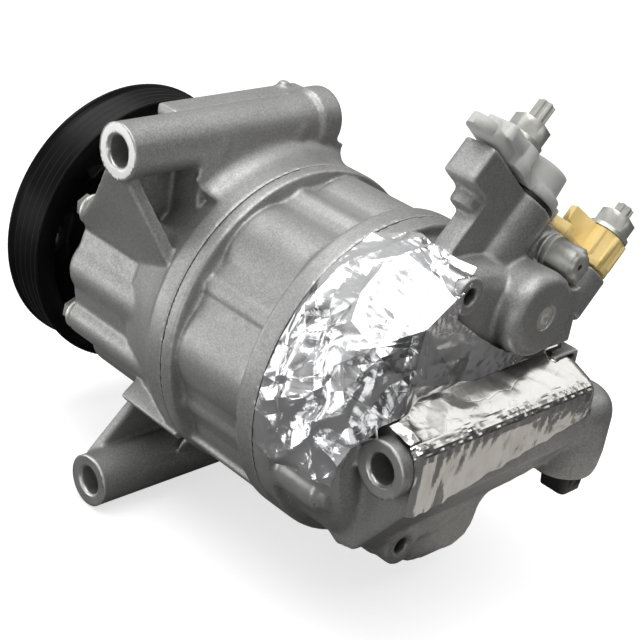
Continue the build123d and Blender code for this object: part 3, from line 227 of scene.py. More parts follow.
def machined_aluminium():
    base, rough = (0.70, 0.70, 0.69), 0.30
    material, sh, surface = new_material("machined_aluminium")
    tool_lines = sh.noise(sh.place(scale=(40, 1800, 1800)), scale=1.0, detail=2, rough=0.5)
    soft = sh.noise(sh.place(), scale=120, detail=4, rough=0.6)
    sh.fill(surface, {
        "Base Color": sh.mix(sh.ramp(soft, (0.35, 0.0), (0.7, 1.0)),
                             under=tuple(c * 0.82 for c in base), over=base),
        "Metallic": 0.9,
        "Roughness": sh.spread(soft, rough - 0.04, rough + 0.10),
        "Normal": sh.bump(tool_lines, strength=0.2, distance=0.00004, normal=sh.bevel(0.25)),
    })
    return material


def steel(name, base, rough, metallic=0.95, grain=900, strength=0.15, edge=0.3, tint=None):
    """Grained metal. grain is the noise scale, edge the bevel in mm, tint the darker tone."""
    material, sh, surface = new_material(name)
    place = sh.place()
    fine = sh.noise(place, scale=grain, detail=4, rough=0.6)
    blotch = sh.noise(place, scale=90, detail=5, rough=0.65, warp=0.5)
    colour = sh.mix(sh.ramp(blotch, (0.35, 0.0), (0.68, 1.0)),
                    under=tint or tuple(c * 0.74 for c in base), over=base)
    sh.fill(surface, {
        # painted shade in the part's hollows
        "Base Color": sh.paint_hollow_shade(colour, 2.5, (0.2, 0.45), (0.8, 1.0)),
        "Metallic": metallic,
        "Roughness": sh.spread(blotch, rough - 0.05, rough + 0.08),
        "Normal": sh.bump(fine, strength=strength, distance=0.00008, normal=sh.bevel(edge)),
    })
    return material


def fine_metal(name, base, rough):
    return steel(name, base, rough, metallic=1.0, grain=1400, strength=0.08, edge=0.15)


def pulley_black():
    material, sh, surface = new_material("black_pulley")
    place = sh.place()
    fine = sh.noise(place, scale=700, detail=4, rough=0.6)
    blotch = sh.noise(place, scale=60, detail=5, rough=0.65, warp=0.5)
    sh.fill(surface, {
        "Base Color": sh.mix(sh.ramp(blotch, (0.45, 0.0), (0.8, 1.0)),
                             under=(0.003, 0.003, 0.0035), over=(0.008, 0.008, 0.009)),
        "Metallic": 0.0,
        "Roughness": sh.spread(blotch, 0.30, 0.44),
        "Specular IOR Level": 0.20,
        "Coat Weight": 0.03,
        "Coat Roughness": 0.18,
        "Normal": sh.bump(fine, strength=0.12, distance=0.00006, normal=sh.bevel(0.22)),
    })
    return material


def plastic(name, dark, light, rough, edge=0.35, coat=0.0, glow=0.0, glow_radius=(1.0, 0.6, 0.2)):
    """Mottled plastic. edge is the bevel in mm, glow the subsurface weight."""
    material, sh, surface = new_material(name)
    place = sh.place()
    fine = sh.noise(place, scale=1300, detail=3, rough=0.6)
    blotch = sh.noise(place, scale=70, detail=4, rough=0.6, warp=0.4)
    sh.fill(surface, {
        "Base Color": sh.mix(sh.ramp(blotch, (0.35, 0.0), (0.7, 1.0)), under=dark, over=light),
        "Roughness": sh.spread(blotch, rough - 0.05, rough + 0.07),
        "Coat Weight": coat,
        "Normal": sh.bump(fine, strength=0.10, distance=0.00006, normal=sh.bevel(edge)),
    })
    if glow:
        sh.fill(surface, {
            "Subsurface Weight": glow,
            "Subsurface Radius": glow_radius,
            "Subsurface Scale": 0.004,
        })
    return material


def foil_metal(name, dark, light, crease_scale):
    """Bright foil. crease_scale sets how far the small creases stretch along each axis."""
    material, sh, surface = new_material(name)
    place = sh.place()
    blotch = sh.noise(place, scale=55, detail=5, rough=0.65, warp=0.6)
    colour = sh.mix(sh.ramp(blotch, (0.35, 0.0), (0.7, 1.0)), under=dark, over=light)
    roughness = sh.spread(blotch, 0.13, 0.24)
    turned = sh.place(scale=crease_scale, rotation=(0.3, 0.5, 0.2))
    cells = sh.node("TexVoronoi", feature="DISTANCE_TO_EDGE")
    sh.fill(cells, {"Scale": 190, "Vector": turned})
    fine = sh.noise(place, scale=700, detail=4, rough=0.65)
    crease = sh.ramp(cells.outputs["Distance"], (0.0, 0.0), (0.05, 0.8), (0.16, 1.0))
    height = sh.math("ADD", sh.math("MULTIPLY", crease, 0.25), sh.math("MULTIPLY", fine, 0.22))
    sh.fill(surface, {
        "Base Color": colour,
        "Metallic": 1.0,
        "Roughness": roughness,
        "Normal": sh.bump(height, strength=0.30, distance=0.00025),
    })
    return material


MATS = {
    "cast_aluminium": cast_aluminium(),
    "machined_aluminium": machined_aluminium(),
    "gasket_rubber_metal": plastic("gasket_rubber_metal", dark=(0.015, 0.015, 0.015),
                                   light=(0.03, 0.03, 0.03), rough=0.55, edge=0.05),
    "valve_steel": fine_metal("valve_steel", base=(0.52, 0.52, 0.54), rough=0.25),
    "zinc_steel": steel("zinc_steel", base=(0.84, 0.84, 0.79), rough=0.36, metallic=0.78,
                        grain=700, strength=0.2, edge=0.22, tint=(0.62, 0.62, 0.57)),
    "black_pulley": pulley_black(),
    "black_rubber": plastic("black_rubber", dark=(0.010, 0.010, 0.010),
                            light=(0.022, 0.022, 0.022), rough=0.5, edge=0.3),
    "bearing_steel": fine_metal("bearing_steel", base=(0.58, 0.58, 0.60), rough=0.18),
    "brown_plastic": plastic("brown_plastic", dark=(0.22, 0.11, 0.04),
                             light=(0.30, 0.16, 0.07), rough=0.45),
    "spring_steel": fine_metal("spring_steel", base=(0.35, 0.35, 0.37), rough=0.3),
    "cast_iron_swash": steel("cast_iron_swash", base=(0.20, 0.20, 0.20), rough=0.45,
                             metallic=0.8, grain=500, strength=0.25, edge=0.4),
    "brass_valve": fine_metal("brass_valve", base=(0.72, 0.53, 0.26), rough=0.28),
    "black_plastic": plastic("black_plastic", dark=(0.012, 0.012, 0.013),
                             light=(0.022, 0.022, 0.023), rough=0.38, edge=0.4),
    "grey_plastic": plastic("grey_plastic", dark=(0.56, 0.56, 0.54), light=(0.66, 0.66, 0.64),
                            rough=0.42, edge=0.4, glow=0.15, glow_radius=(1, 1, 0.9)),
    "amber_plastic": plastic("amber_plastic", dark=(0.93, 0.66, 0.24),
                             light=(0.97, 0.76, 0.36), rough=0.34, edge=0.4,
                             coat=0.25, glow=0.25),
    "foil": foil_metal("foil_crumpled", dark=(0.82, 0.82, 0.84), light=(0.95, 0.95, 0.95),
                       crease_scale=(1, 0.6, 1)),
    # the strip is a darker, warm-tinted copy of the dome's foil: painted shade and a painted warm
    # reflection in its colour
    "foil_strip": foil_metal("foil_strip", dark=(0.70, 0.68, 0.65), light=(0.86, 0.85, 0.82),
                             crease_scale=(1, 1, 0.3)),
}


def set_material(obj, key):
    obj.data.materials.clear()
    obj.data.materials.append(MATS[key])


SLOTS = {part["node"]: part["material_slot"] for part in frame["record"]["subparts"]}
for node_name, obj in NODES.items():
    slot = SLOTS[node_name]
    set_material(obj, slot if slot in MATS else "zinc_steel")


# ------------------------------------------------------------------ mesh helpers
def get_points(obj):
    points = np.empty(len(obj.data.vertices) * 3)
    obj.data.vertices.foreach_get("co", points)
    return points.reshape(-1, 3)


def set_points(obj, points):
    obj.data.vertices.foreach_set("co", points.ravel())
    obj.data.update()


def link_object(name, data):
    obj = bpy.data.objects.new(name, data)
    bpy.context.scene.collection.objects.link(obj)
    return obj


def stand_in(node, name, body):
    """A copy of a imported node's mesh, vertices joined, that stands for the node."""
    obj = NODES[node].copy()
    obj.data = obj.data.copy()
    obj.name = name
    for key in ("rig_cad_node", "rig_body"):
        if key in obj:
            del obj[key]
    bpy.context.scene.collection.objects.link(obj)
    obj.parent = None
    bm = bmesh.new()
    bm.from_mesh(obj.data)
    bmesh.ops.remove_doubles(bm, verts=bm.verts, dist=2e-6)
    bm.to_mesh(obj.data)
    bm.free()
    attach(obj, body)
    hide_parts(node)
    return obj


def apply_modifiers(obj):
    evaluated = obj.evaluated_get(bpy.context.evaluated_depsgraph_get())
    mesh = bpy.data.meshes.new_from_object(evaluated)
    old = obj.data
    obj.modifiers.clear()
    obj.data = mesh
    bpy.data.meshes.remove(old)


def smooth_shade(obj, sharp_angle=None):
    mesh = obj.data
    mesh.polygons.foreach_set("use_smooth", [True] * len(mesh.polygons))
    if sharp_angle is not None:
        mesh.set_sharp_from_angle(angle=math.radians(sharp_angle))


# ------------------------------------------------------------------ castings
def ring_weight(points, axis, centre, inner, outer, start, end, soft):
    """1 inside a ring-shaped zone about a line along axis, falling off over soft mm."""
    i, j, k = {"x": (0, 1, 2), "y": (1, 0, 2), "z": (2, 0, 1)}[axis]
    radius = np.hypot(points[:, j] - centre[0], points[:, k] - centre[1])
    along = points[:, i]
    outside = np.maximum(np.maximum(inner - radius, radius - outer),
                         np.maximum(start - along, along - end))
    return np.clip(1 - outside / soft, 0, 1)


# Zones that stay crisp: axis, centre across it, inner and outer radius, start, end, fall-off
FRONT_ZONES = [
    *(("x", lug, 0, LUG_RADIUS + 1, 63.6, 70, 0.6) for lug in FRONT_LUGS),
    *(("x", lug, 0, FRONT_BORE + 1, -40, 70, 0.4) for lug in FRONT_LUGS),
    ("y", (0, 0), 40, 70, 89.6, 92, 0.5),
    ("y", (0, 0), 0, 18.5, -12, 13, 0.5),
]
BLOCK_ZONES = [
    ("y", (0, 0), 40, 70, 90.5, 92.6, 0.5),
    ("y", (0, 0), 40, 70, 138.4, 141, 0.5),
]
REAR_ZONES = [
    ("y", (0, 0), 40, 70, 139, 142.2, 0.5),
    ("x", REAR_LUG, 0, LUG_RADIUS + 1, 44.6, 50, 0.6),
    ("x", REAR_LUG, 0, 6.2, 0, 50, 0.4),
    ("y", (-44.8, 49.2), 0, 7.6, 165, 170.2, 0.4),
    ("y", (-26, 36), 0, 4.8, 160, 187, 0.4),
    ("z", (-56.6, 185.2), 0, 11.6, -32, -29, 0.4),
]
# Holes in the port face: place across, place towards -Y, kept radius, depth
PORT_HOLES = [(-17.5, 0, 8.6, 40), (7, -2, 6.0, 17)]


def port_weight(points):
    """Keeps the port face, its holes and, in part, the lines of the block they are in."""
    offset = points - PORT_CENTRE
    across = offset @ PORT_ACROSS
    down = -(points[:, 1] - PORT_CENTRE[1])
    out = offset @ PORT_NORMAL
    weight = (np.clip(1 - (np.abs(out) - 0.8) / 0.6, 0, 1) * (points[:, 1] > 130)
              * (np.abs(points[:, 2] - 60) < 60) * (np.hypot(across, down) < 75))
    for hole_across, hole_down, radius, depth in PORT_HOLES:
        distance = np.hypot(across - hole_across, down - hole_down)
        hole = np.clip(1 - (distance - radius) / 0.5, 0, 1) * (out > -depth) * (out < 2)
        weight = np.maximum(weight, hole)
    block = ((out > -13) * (across > -56) * (across < -5)
             * (np.abs(down) < 9) * (points[:, 1] > 145))
    return np.maximum(weight, 0.45 * block)


def round_corners(obj, rounds, zones, extra_weight=None, strength=0.5):
    """Voxel remesh, then smooth outside the crisp zones, so cast corners get fillets."""
    modifier = obj.modifiers.new("remesh", "REMESH")
    modifier.mode = "VOXEL"
    modifier.voxel_size = VOXEL * MM
    modifier.adaptivity = 0.0
    apply_modifiers(obj)
    points = get_points(obj)
    count = len(points)
    edges = np.empty(len(obj.data.edges) * 2, np.int64)
    obj.data.edges.foreach_get("vertices", edges)
    edges = edges.reshape(-1, 2)
    neighbours = np.bincount(edges.ravel(), minlength=count).astype(float)[:, None]
    points_mm = points * 1000
    kept = np.zeros(count)
    for zone in zones:
        kept = np.maximum(kept, ring_weight(points_mm, *zone))
    if extra_weight:
        kept = np.maximum(kept, extra_weight(points_mm))
    pull = (1 - kept)[:, None] * strength
    for _ in range(rounds):
        total = np.zeros_like(points)
        for k in range(3):
            total[:, k] = (np.bincount(edges[:, 0], points[edges[:, 1], k], count)
                           + np.bincount(edges[:, 1], points[edges[:, 0], k], count))
        points = points + (total / neighbours - points) * pull
    set_points(obj, points)
    smooth_shade(obj)


def snap_face(obj, face_x, centre, bore, chamfer):
    """Draws the rim of a machined lug face exactly on its circle and its plane."""
    points = get_points(obj) * 1000
    centre_y, centre_z = centre
    mouth = bore + chamfer
    radius = np.hypot(points[:, 1] - centre_y, points[:, 2] - centre_z)
    on_face = (np.abs(points[:, 0] - face_x) < 0.75) & (radius < LUG_RADIUS + 1.4)
    on_rim = on_face & (radius > LUG_RADIUS - 0.55)
    on_mouth = on_face & (np.abs(radius - mouth) < 0.45)
    safe_radius = np.maximum(radius, 1e-6)
    scale = np.where(on_rim, LUG_RADIUS / safe_radius, 1.0)
    scale = np.where(on_mouth, mouth / safe_radius, scale)
    points[:, 1] = centre_y + (points[:, 1] - centre_y) * scale
    points[:, 2] = centre_z + (points[:, 2] - centre_z) * scale
    points[on_face & (radius > mouth - 0.45), 0] = face_x
    set_points(obj, points / 1000)


# Tests on face centres (mm) and normals that pick the machined faces
def facing_x(start):
    return lambda centre, normal: (centre[:, 0] > start) & (normal[:, 0] > 0.6)


def lug_bore(lug, radius, start):
    return lambda centre, normal: (
        (np.hypot(centre[:, 1] - lug[0], centre[:, 2] - lug[1]) < radius)
        & (centre[:, 0] > start))


def nose_bore(centre, normal):
    return (centre[:, 1] < 13) & (np.hypot(centre[:, 0], centre[:, 2]) < 19)


def port_face(centre, normal):
    return (((normal @ PORT_NORMAL) > 0.8) & (centre[:, 1] > 140)
            & (np.abs((centre - PORT_CENTRE) @ PORT_NORMAL) < 0.5))


def paint_machined(obj, tests):
    """Faces that pass a test get the machined finish."""
    mesh = obj.data
    set_material(obj, "cast_aluminium")
    mesh.materials.append(MATS["machined_aluminium"])
    count = len(mesh.polygons)
    centres = np.empty(count * 3)
    normals = np.empty(count * 3)
    mesh.polygons.foreach_get("center", centres)
    mesh.polygons.foreach_get("normal", normals)
    centres = centres.reshape(-1, 3) * 1000
    normals = normals.reshape(-1, 3)
    finish = np.zeros(count, np.int32)
    for test in tests:
        finish[test(centres, normals)] = 1
    mesh.polygons.foreach_set("material_index", finish)
    mesh.update()


def casting(node):
    return stand_in(node, node + "_cast", "casing")


def front_housing():
    obj = casting("front_housing")
    round_corners(obj, SMOOTH_ROUNDS, FRONT_ZONES)
    for lug in FRONT_LUGS:
        snap_face(obj, FRONT_LUG_FACE_X, lug, FRONT_BORE, chamfer=0.72)
    bores = [lug_bore(lug, radius=6.4, start=0) for lug in FRONT_LUGS]
    paint_machined(obj, [facing_x(64.4), *bores, nose_bore])


def cylinder_block():
    obj = casting("cylinder_block")
    round_corners(obj, SMOOTH_ROUNDS + 2, BLOCK_ZONES)
    paint_machined(obj, [])


def rear_housing():
    obj = casting("rear_housing")
    round_corners(obj, SMOOTH_ROUNDS, REAR_ZONES, port_weight)
    snap_face(obj, REAR_LUG_FACE_X, REAR_LUG, REAR_BORE, chamfer=0.9)
    paint_machined(obj, [facing_x(45.2), lug_bore(REAR_LUG, radius=6.3, start=1), port_face])
    return obj


front_housing()
cylinder_block()
rear_casting = rear_housing()

# ------------------------------------------------------------------ crumpled foil
# Knots of the draped sheet: x, y, z in mm, and how much it is crumpled there
KNOTS = [
    (58.8, 143.4, -8.79, 0.25), (59.37, 141.4, 3.11, 0.25), (57.42, 141.4, 15.39, 0.25),
    (52.97, 141.4, 26.99, 0.25), (46.2, 141.4, 37.41, 0.25), (38.21, 141.4, 45.54, 0.25),
    (28.82, 141.4, 52.0, 0.25), (17.38, 141.4, 56.85, 0.25), (58.83, 149.0, -9.85, 0.6),
    (59.57, 149.0, 3.12, 0.8), (57.62, 149.0, 15.44, 0.9), (53.15, 149.0, 27.08, 1.1),
    (46.36, 149.0, 37.54, 1.2), (38.34, 149.0, 45.69, 0.6), (28.0, 149.0, 52.67, 0.35),
    (16.44, 149.0, 57.34, 0.45), (6.24, 149.0, 59.32, 0.5), (59.06, 158.0, -9.35, 0.9),
    (60.19, 160.0, -1.05, 1.2), (59.55, 167.0, 7.31, 1.2), (58.8, 157.0, 14.66, 1.3),
    (56.38, 165.0, 20.52, 1.2), (53.64, 163.6, 27.33, 0.5), (50.71, 168.3, 31.69, 0.35),
    (48.86, 156.0, 35.5, 1.3), (44.03, 162.5, 41.06, 0.3), (37.12, 158.0, 47.52, 0.12),
    (28.31, 156.5, 53.24, 0.12), (18.54, 157.5, 57.06, 0.3), (8.32, 160.0, 59.22, 0.6),
    (58.9, 171.9, -8.1, 0.8), (58.2, 177.3, -6.6, 0.7), (56.8, 177.6, 1.0, 0.9),
    (52.6, 177.5, 6.7, 0.8), (45.0, 181.5, 16.5, 0.3), (39.5, 182.5, 16.0, 0.4),
    (53.6, 172.0, 24.2, 0.25), (43.4, 175.6, 34.8, 0.45), (35.0, 182.6, 25.6, 0.25),
    (43.9, 172.4, 36.9, 0.4), (33.1, 177.5, 36.4, 0.45), (26.9, 177.6, 41.3, 0.2),
    (12.4, 177.4, 49.9, 0.5), (4.5, 175.9, 56.8, 0.6), (12.0, 177.4, 41.5, 0.4),
    (-2.0, 177.3, 31.5, 0.3), (-14.0, 177.3, 24.0, 0.3), (-27.0, 177.2, 19.6, 0.4),
    (-38.5, 177.5, 16.9, 0.5), (42.0, 182.0, 16.2, 0.5), (25.0, 178.3, 16.3, 0.35),
    (5.0, 178.3, 16.4, 0.3), (-15.0, 178.3, 16.4, 0.3), (-38.5, 178.3, 16.3, 0.5),
]
# Flat facets between the knots: three knot numbers each
FACETS = [
    (41, 28, 42), (9, 0, 1), (0, 9, 8), (19, 9, 20), (29, 43, 42), (28, 29, 42), (29, 28, 16),
    (27, 41, 26), (41, 27, 28), (41, 45, 51), (23, 37, 36), (41, 39, 26), (39, 25, 26),
    (39, 23, 25), (39, 37, 23), (51, 50, 38), (50, 35, 38), (3, 11, 2), (11, 10, 2), (2, 10, 1),
    (10, 9, 1), (9, 10, 20), (19, 21, 36), (21, 19, 20), (10, 21, 20), (33, 19, 36), (9, 18, 8),
    (19, 18, 9), (18, 17, 8), (18, 30, 17), (30, 18, 19), (13, 5, 6), (25, 13, 26),
    (44, 41, 42), (44, 45, 41), (47, 48, 53), (23, 24, 25), (40, 39, 41), (39, 40, 37),
    (37, 40, 38), (24, 22, 11), (22, 24, 23), (22, 10, 11), (22, 21, 10), (22, 23, 36),
    (21, 22, 36), (34, 33, 36), (33, 34, 35), (33, 32, 19), (32, 30, 19), (32, 33, 31),
    (30, 32, 31), (7, 14, 6), (14, 27, 26), (13, 14, 26), (14, 13, 6), (27, 15, 28),
    (28, 15, 16), (15, 7, 16), (14, 15, 27), (15, 14, 7), (52, 47, 53), (52, 46, 47),
    (45, 52, 51), (46, 52, 45), (12, 13, 25), (24, 12, 25), (5, 12, 4), (13, 12, 5),
    (12, 24, 11), (12, 3, 4), (3, 12, 11), (49, 34, 36), (34, 49, 35), (37, 49, 36),
    (35, 49, 38), (49, 37, 38), (38, 41, 51), (38, 40, 41),
]
DRAPE_OUTWARD = np.array((0.66, 0.61, 0.45))
# Section of the sheet over the box, from its top to low on its +Y side: y, z
BOX_SECTION = [
    (177.6, 16.9), (178.8, 16.0), (186, 13.2), (193.4, 10.2), (195.2, 9.2),
    (196.2, 7.6), (196.5, 5.6), (196.5, -4), (196.4, -13.4),
]


def crumple(points, slope, folds, seed, stretch=(1.0, 1.0, 1.0), patchy=0.6):
    """Height of folded sheet: straight creases with flat faces between, in random patches.

    folds are the crease spacings in mm; a low stretch draws the creases out along that axis.
    """
    rng = np.random.RandomState(seed)
    bent = points * np.array(stretch)
    warp = np.zeros_like(bent)
    for _ in range(4):
        wave = rng.normal(size=3) * 0.16
        warp += (rng.normal(size=3)[None, :] * 0.55
                 * np.sin(bent @ wave + rng.uniform(0, 6.28))[:, None])
    bent = bent + warp
    height = np.zeros(len(points))
    for fold in folds:
        direction = rng.normal(size=3)
        direction /= np.linalg.norm(direction)
        phase = bent @ direction / fold + rng.uniform()
        zigzag = np.abs(2 * (phase - np.floor(phase)) - 1)
        patches = np.sin(bent @ (rng.normal(size=3) * 0.11) + rng.uniform(0, 6.28))
        patches = patches + np.sin(bent @ (rng.normal(size=3) * 0.17) + rng.uniform(0, 6.28))
        mask = np.clip(0.5 + patchy * patches, 0.0, 1.35)
        height += slope * fold * 0.5 * mask * (zigzag - 0.5)
    return height


def push_clear(obj, target, reach=0.006):
    """Moves the sheet's points out of the casting it lies on, where it is within reach."""
    points = get_points(obj)
    surface = BVHTree.FromObject(target, bpy.context.evaluated_depsgraph_get())
    for i in range(len(points)):
        nearest, normal, _, _ = surface.find_nearest(Vector(points[i]), reach)
        if nearest is None:
            continue
        if (Vector(points[i]) - nearest).dot(normal) < FOIL_GAP * MM:
            points[i] = nearest + normal * FOIL_GAP * MM
    set_points(obj, points)


def finish_foil(obj, material):
    push_clear(obj, rear_casting)
    set_material(obj, material)
    modifier = obj.modifiers.new("thick", "SOLIDIFY")
    modifier.thickness = FOIL_THICKNESS * MM
    modifier.offset = 1.0
    apply_modifiers(obj)
    smooth_shade(obj, sharp_angle=4)
    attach(obj, "casing")


def draped_sheet(name):
    """The sheet over the dome of the rear housing: each facet divided and crumpled."""
    knots = np.array(KNOTS)
    corners, amounts = knots[:, :3], knots[:, 3]
    knot_normals = np.zeros_like(corners)
    facets = []
    for a, b, c in FACETS:
        normal = np.cross(corners[b] - corners[a], corners[c] - corners[a])
        if normal @ DRAPE_OUTWARD < 0:
            b, c = c, b
            normal = -normal
        facets.append([a, b, c])
        for k in (a, b, c):
            knot_normals[k] += normal / max(np.linalg.norm(normal), 1e-9)
    knot_normals /= np.maximum(np.linalg.norm(knot_normals, axis=1), 1e-9)[:, None]
    bm = bmesh.new()
    for facet in facets:
        a, b, c = corners[facet]
        longest = max(np.linalg.norm(a - b), np.linalg.norm(b - c), np.linalg.norm(c - a))
        n = 16 if longest < 14 else 32
        cells = [(i, j) for i in range(n + 1) for j in range(n + 1 - i)]
        shares = np.array([((n - i - j) / n, i / n, j / n) for i, j in cells])
        points = shares @ corners[facet]
        outward = shares @ knot_normals[facet]
        outward /= np.linalg.norm(outward, axis=1)[:, None]
        folds = crumple(points, slope=0.34, folds=(22, 16, 12, 9), seed=11)
        folds += crumple(points, slope=0.12, folds=(5.0, 3.8), seed=23)
        # creases that run everywhere, whatever the knots' amounts
        creases = (crumple(points, slope=0.10, folds=(14, 10, 7), seed=5, patchy=0.3)
                   + crumple(points, slope=0.05, folds=(3.5, 2.6), seed=9, patchy=0.5))
        lift = folds * (shares @ amounts[facet]) + creases + 0.45
        points = points + outward * lift[:, None]
        at = {cell: bm.verts.new((point * MM).tolist()) for cell, point in zip(cells, points)}
        for i in range(n):
            for j in range(n - i):
                bm.faces.new((at[i, j], at[i + 1, j], at[i, j + 1]))
                if i + j < n - 1:
                    bm.faces.new((at[i + 1, j], at[i + 1, j + 1], at[i, j + 1]))
    bmesh.ops.remove_doubles(bm, verts=bm.verts, dist=3e-5)
    mesh = bpy.data.meshes.new(name)
    bm.to_mesh(mesh)
    bm.free()
    return link_object(name, mesh)


def box_path():
    """BOX_SECTION divided into short steps."""
    path = []
    for (y0, z0), (y1, z1) in zip(BOX_SECTION[:-1], BOX_SECTION[1:]):
        n = max(1, int(math.hypot(y1 - y0, z1 - z0) / FOIL_STEP))
        path += [(y0 + (y1 - y0) * (k / n), z0 + (z1 - z0) * (k / n)) for k in range(n)]
    return np.array(path + [BOX_SECTION[-1]])


def box_sheet(name):
    """Over the cross box: pressed top, crumpled edge, upright wrinkles on the +Y side."""
    path = box_path()
    along = np.gradient(path, axis=0)
    along /= np.linalg.norm(along, axis=1)[:, None]
    steps = np.linalg.norm(np.diff(path, axis=0), axis=1)
    arc = np.concatenate(([0], np.cumsum(steps)))
    xs = np.arange(-50.6, 41.4, FOIL_STEP)
    x, row = np.meshgrid(xs, np.arange(len(path)), indexing="ij")
    points = np.stack([x, path[row, 0], path[row, 1]], -1)
    outward = np.stack([np.zeros_like(x), -along[row, 1], along[row, 0]], -1)
    arc = arc[row]
    # both ends lap over the box's corners
    lap = (np.clip((x - 37.6) / 3.8, 0, 1) ** 2 * 1.9
           + np.clip((-46.5 - x) / 4.1, 0, 1) ** 2 * 2.2)
    points = points - outward * lap[..., None] * np.where(arc < 17, 0.55, 1.0)[..., None]
    # how far each place belongs to the top, the edge, the +Y side and the +X end
    top = (arc < 15.5).astype(float)
    edge = np.exp(-((arc - 18.3) / 1.7) ** 2)
    side = (arc > 20).astype(float)
    end = np.clip((x - 26) / 10, 0, 1)
    flat = points.reshape(-1, 3)
    height = 0.35
    for share, folding in (
        (0.22 * top + 0.12 + end * (top + edge),
         dict(slope=0.16, folds=(18, 12, 8, 5.2), seed=31)),
        (edge + 0.05 * top + 0.35 * end * top,
         dict(slope=0.30, folds=(3.6, 2.7, 2.1, 1.7), seed=37)),
        (0.85 * side, dict(slope=0.20, folds=(14, 9, 6), seed=43, stretch=(1.0, 0.1, 0.5))),
        (side, dict(slope=0.18, folds=(4.2, 3.0), seed=47, stretch=(1.0, 0.1, 0.6))),
    ):
        height = height + crumple(flat, **folding).reshape(x.shape) * share
    points = points + outward * height[..., None]
    # the lower edge climbs towards -X, where the control valve is
    climb = (np.clip((34.0 - xs) / 74.0, 0, 1.1) * 10.5
             + 0.35 * np.sin(xs * 0.55) * np.sin(xs * 0.21 + 1.0))
    points[:, :, 2] += climb[:, None] * np.clip((5.6 - points[:, :, 2]) / 19.0, 0, 1)
    rows, columns = x.shape
    faces = [
        (i * columns + j, (i + 1) * columns + j, (i + 1) * columns + j + 1, i * columns + j + 1)
        for i in range(rows - 1) for j in range(columns - 1)
    ]
    mesh = bpy.data.meshes.new(name)
    mesh.from_pydata((points.reshape(-1, 3) * MM).tolist(), [], faces)
    return link_object(name, mesh)


dome_foil = draped_sheet("foil_dome")
finish_foil(dome_foil, "foil")
box_foil = box_sheet("foil_box")
finish_foil(box_foil, "foil_strip")
for sheet in (dome_foil, box_foil):
    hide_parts("heat_shield_foil")


# ------------------------------------------------------------------ hardware
def smooth_copy(node, suffix, body, slot, sharp_angle):
    obj = stand_in(node, node + suffix, body)
    set_material(obj, slot)
    smooth_shade(obj, sharp_angle)
    return obj


# node, body it rides, material slot, angle in degrees above which an edge stays sharp
for node, body, slot, sharp_angle in (
    ("pulley", "rotor", "black_pulley", 32),
    ("through_bolts", "casing", "zinc_steel", 30),
    ("relief_valve_body", "casing", "zinc_steel", 30),
    ("suction_cap_nut", "suction_cap", "zinc_steel", 30),
    ("discharge_cap_nut", "discharge_cap", "zinc_steel", 30),
    ("port_studs", "casing", "zinc_steel", 30),
    ("muffler_plug", "casing", "zinc_steel", 30),
    ("suction_port_cap", "suction_cap", "grey_plastic", 35),
    ("discharge_port_cap", "discharge_cap", "amber_plastic", 35),
    ("suction_cap_seal", "suction_cap", "black_rubber", 35),
    ("control_valve_connector", "casing", "black_plastic", 35),
    ("control_valve_solenoid", "casing", "black_plastic", 35),
    ("drive_hub", "rotor", "zinc_steel", 30),
    ("hub_nut", "rotor", "zinc_steel", 30),
    ("hub_dampers", "rotor", "black_rubber", 30),
    ("shaft", "rotor", "bearing_steel", 30),
    ("front_gasket", "casing", "gasket_rubber_metal", 30),
    ("rear_gasket", "casing", "gasket_rubber_metal", 30),
):
    smooth_copy(node, "_fine", body, slot, sharp_angle)

# the valve springs get smooth copies with their own meshes; each row's joint, axis, anchor and
# keep are not used
for node, joint, axis, anchor, keep in (
    ("check_valve_spring", "check_poppet_lift", (0, 1, 0), (0, 0.18075, 0), 0.575),
    ("relief_valve_spring", "relief_poppet_lift", (0, 1, 0), (0, 0.17935, 0), 0.79),
    ("control_valve_spring", "valve_plunger_stroke", (0, 0, 1), (0, 0, -0.00205), 0.79),
):
    spring = smooth_copy(node, "_coil", "casing", "spring_steel", sharp_angle=40)
    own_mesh(spring)


# ------------------------------------------------------------------ stage, light, camera
def floor_material():
    """Pale and glowing to the camera, dark to every other ray."""
    material, sh, surface = new_material("floor_pale")
    sh.fill(surface, {"Base Color": (0.62, 0.62, 0.62), "Roughness": 0.9})
    glow = sh.node("Emission", {"Color": (1, 1, 1), "Strength": 0.66})
    pale = sh.node("AddShader", {0: surface.outputs[0], 1: glow.outputs[0]})
    dim = sh.node("BsdfDiffuse", {"Color": (0.14, 0.14, 0.14)})
    to_camera = sh.node("LightPath").outputs["Is Camera Ray"]
    pick = sh.node("MixShader", {0: to_camera, 1: dim.outputs[0], 2: pale.outputs[0]})
    sh.fill(sh.tree.nodes["Material Output"], {0: pick.outputs[0]})
    return material


def add_floor():
    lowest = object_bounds()[0].z
    bm = bmesh.new()
    bmesh.ops.create_grid(bm, x_segments=1, y_segments=1, size=6.0)
    mesh = bpy.data.meshes.new("floor")
    bm.to_mesh(mesh)
    bm.free()
    floor = link_object("floor", mesh)
    floor.location = (0, 0, lowest - 0.001)
    mesh.materials.append(floor_material())


def add_world():
    """White to the camera; lights from above and the pulley side, dark behind the camera."""
    world = bpy.data.worlds.new("studio")
    bpy.context.scene.world = world
    world.use_nodes = True
    sh = Shader(world.node_tree)
    output = sh.node("OutputWorld")
    split = sh.node("SeparateXYZ", {0: sh.node("TexCoord").outputs["Generated"]})
    side = sh.math("ADD", sh.math("MULTIPLY", split.outputs["Z"], 0.95),
                   sh.math("MULTIPLY", split.outputs["Y"], -0.55))
    level = sh.math("ADD", sh.math("MULTIPLY", side, 0.5), 0.5)
    sky = sh.ramp(level, (0.20, 0.035), (0.46, 0.075), (0.66, 0.26), (0.88, 0.62))
    lit = sh.node("Background", {"Color": sky, "Strength": 0.9})
    seen = sh.node("Background", {"Color": (1, 1, 1), "Strength": 1.0})
    to_camera = sh.node("LightPath").outputs["Is Camera Ray"]
    pick = sh.node("MixShader", {0: to_camera, 1: lit.outputs[0], 2: seen.outputs[0]})
    sh.fill(output, {0: pick.outputs[0]})


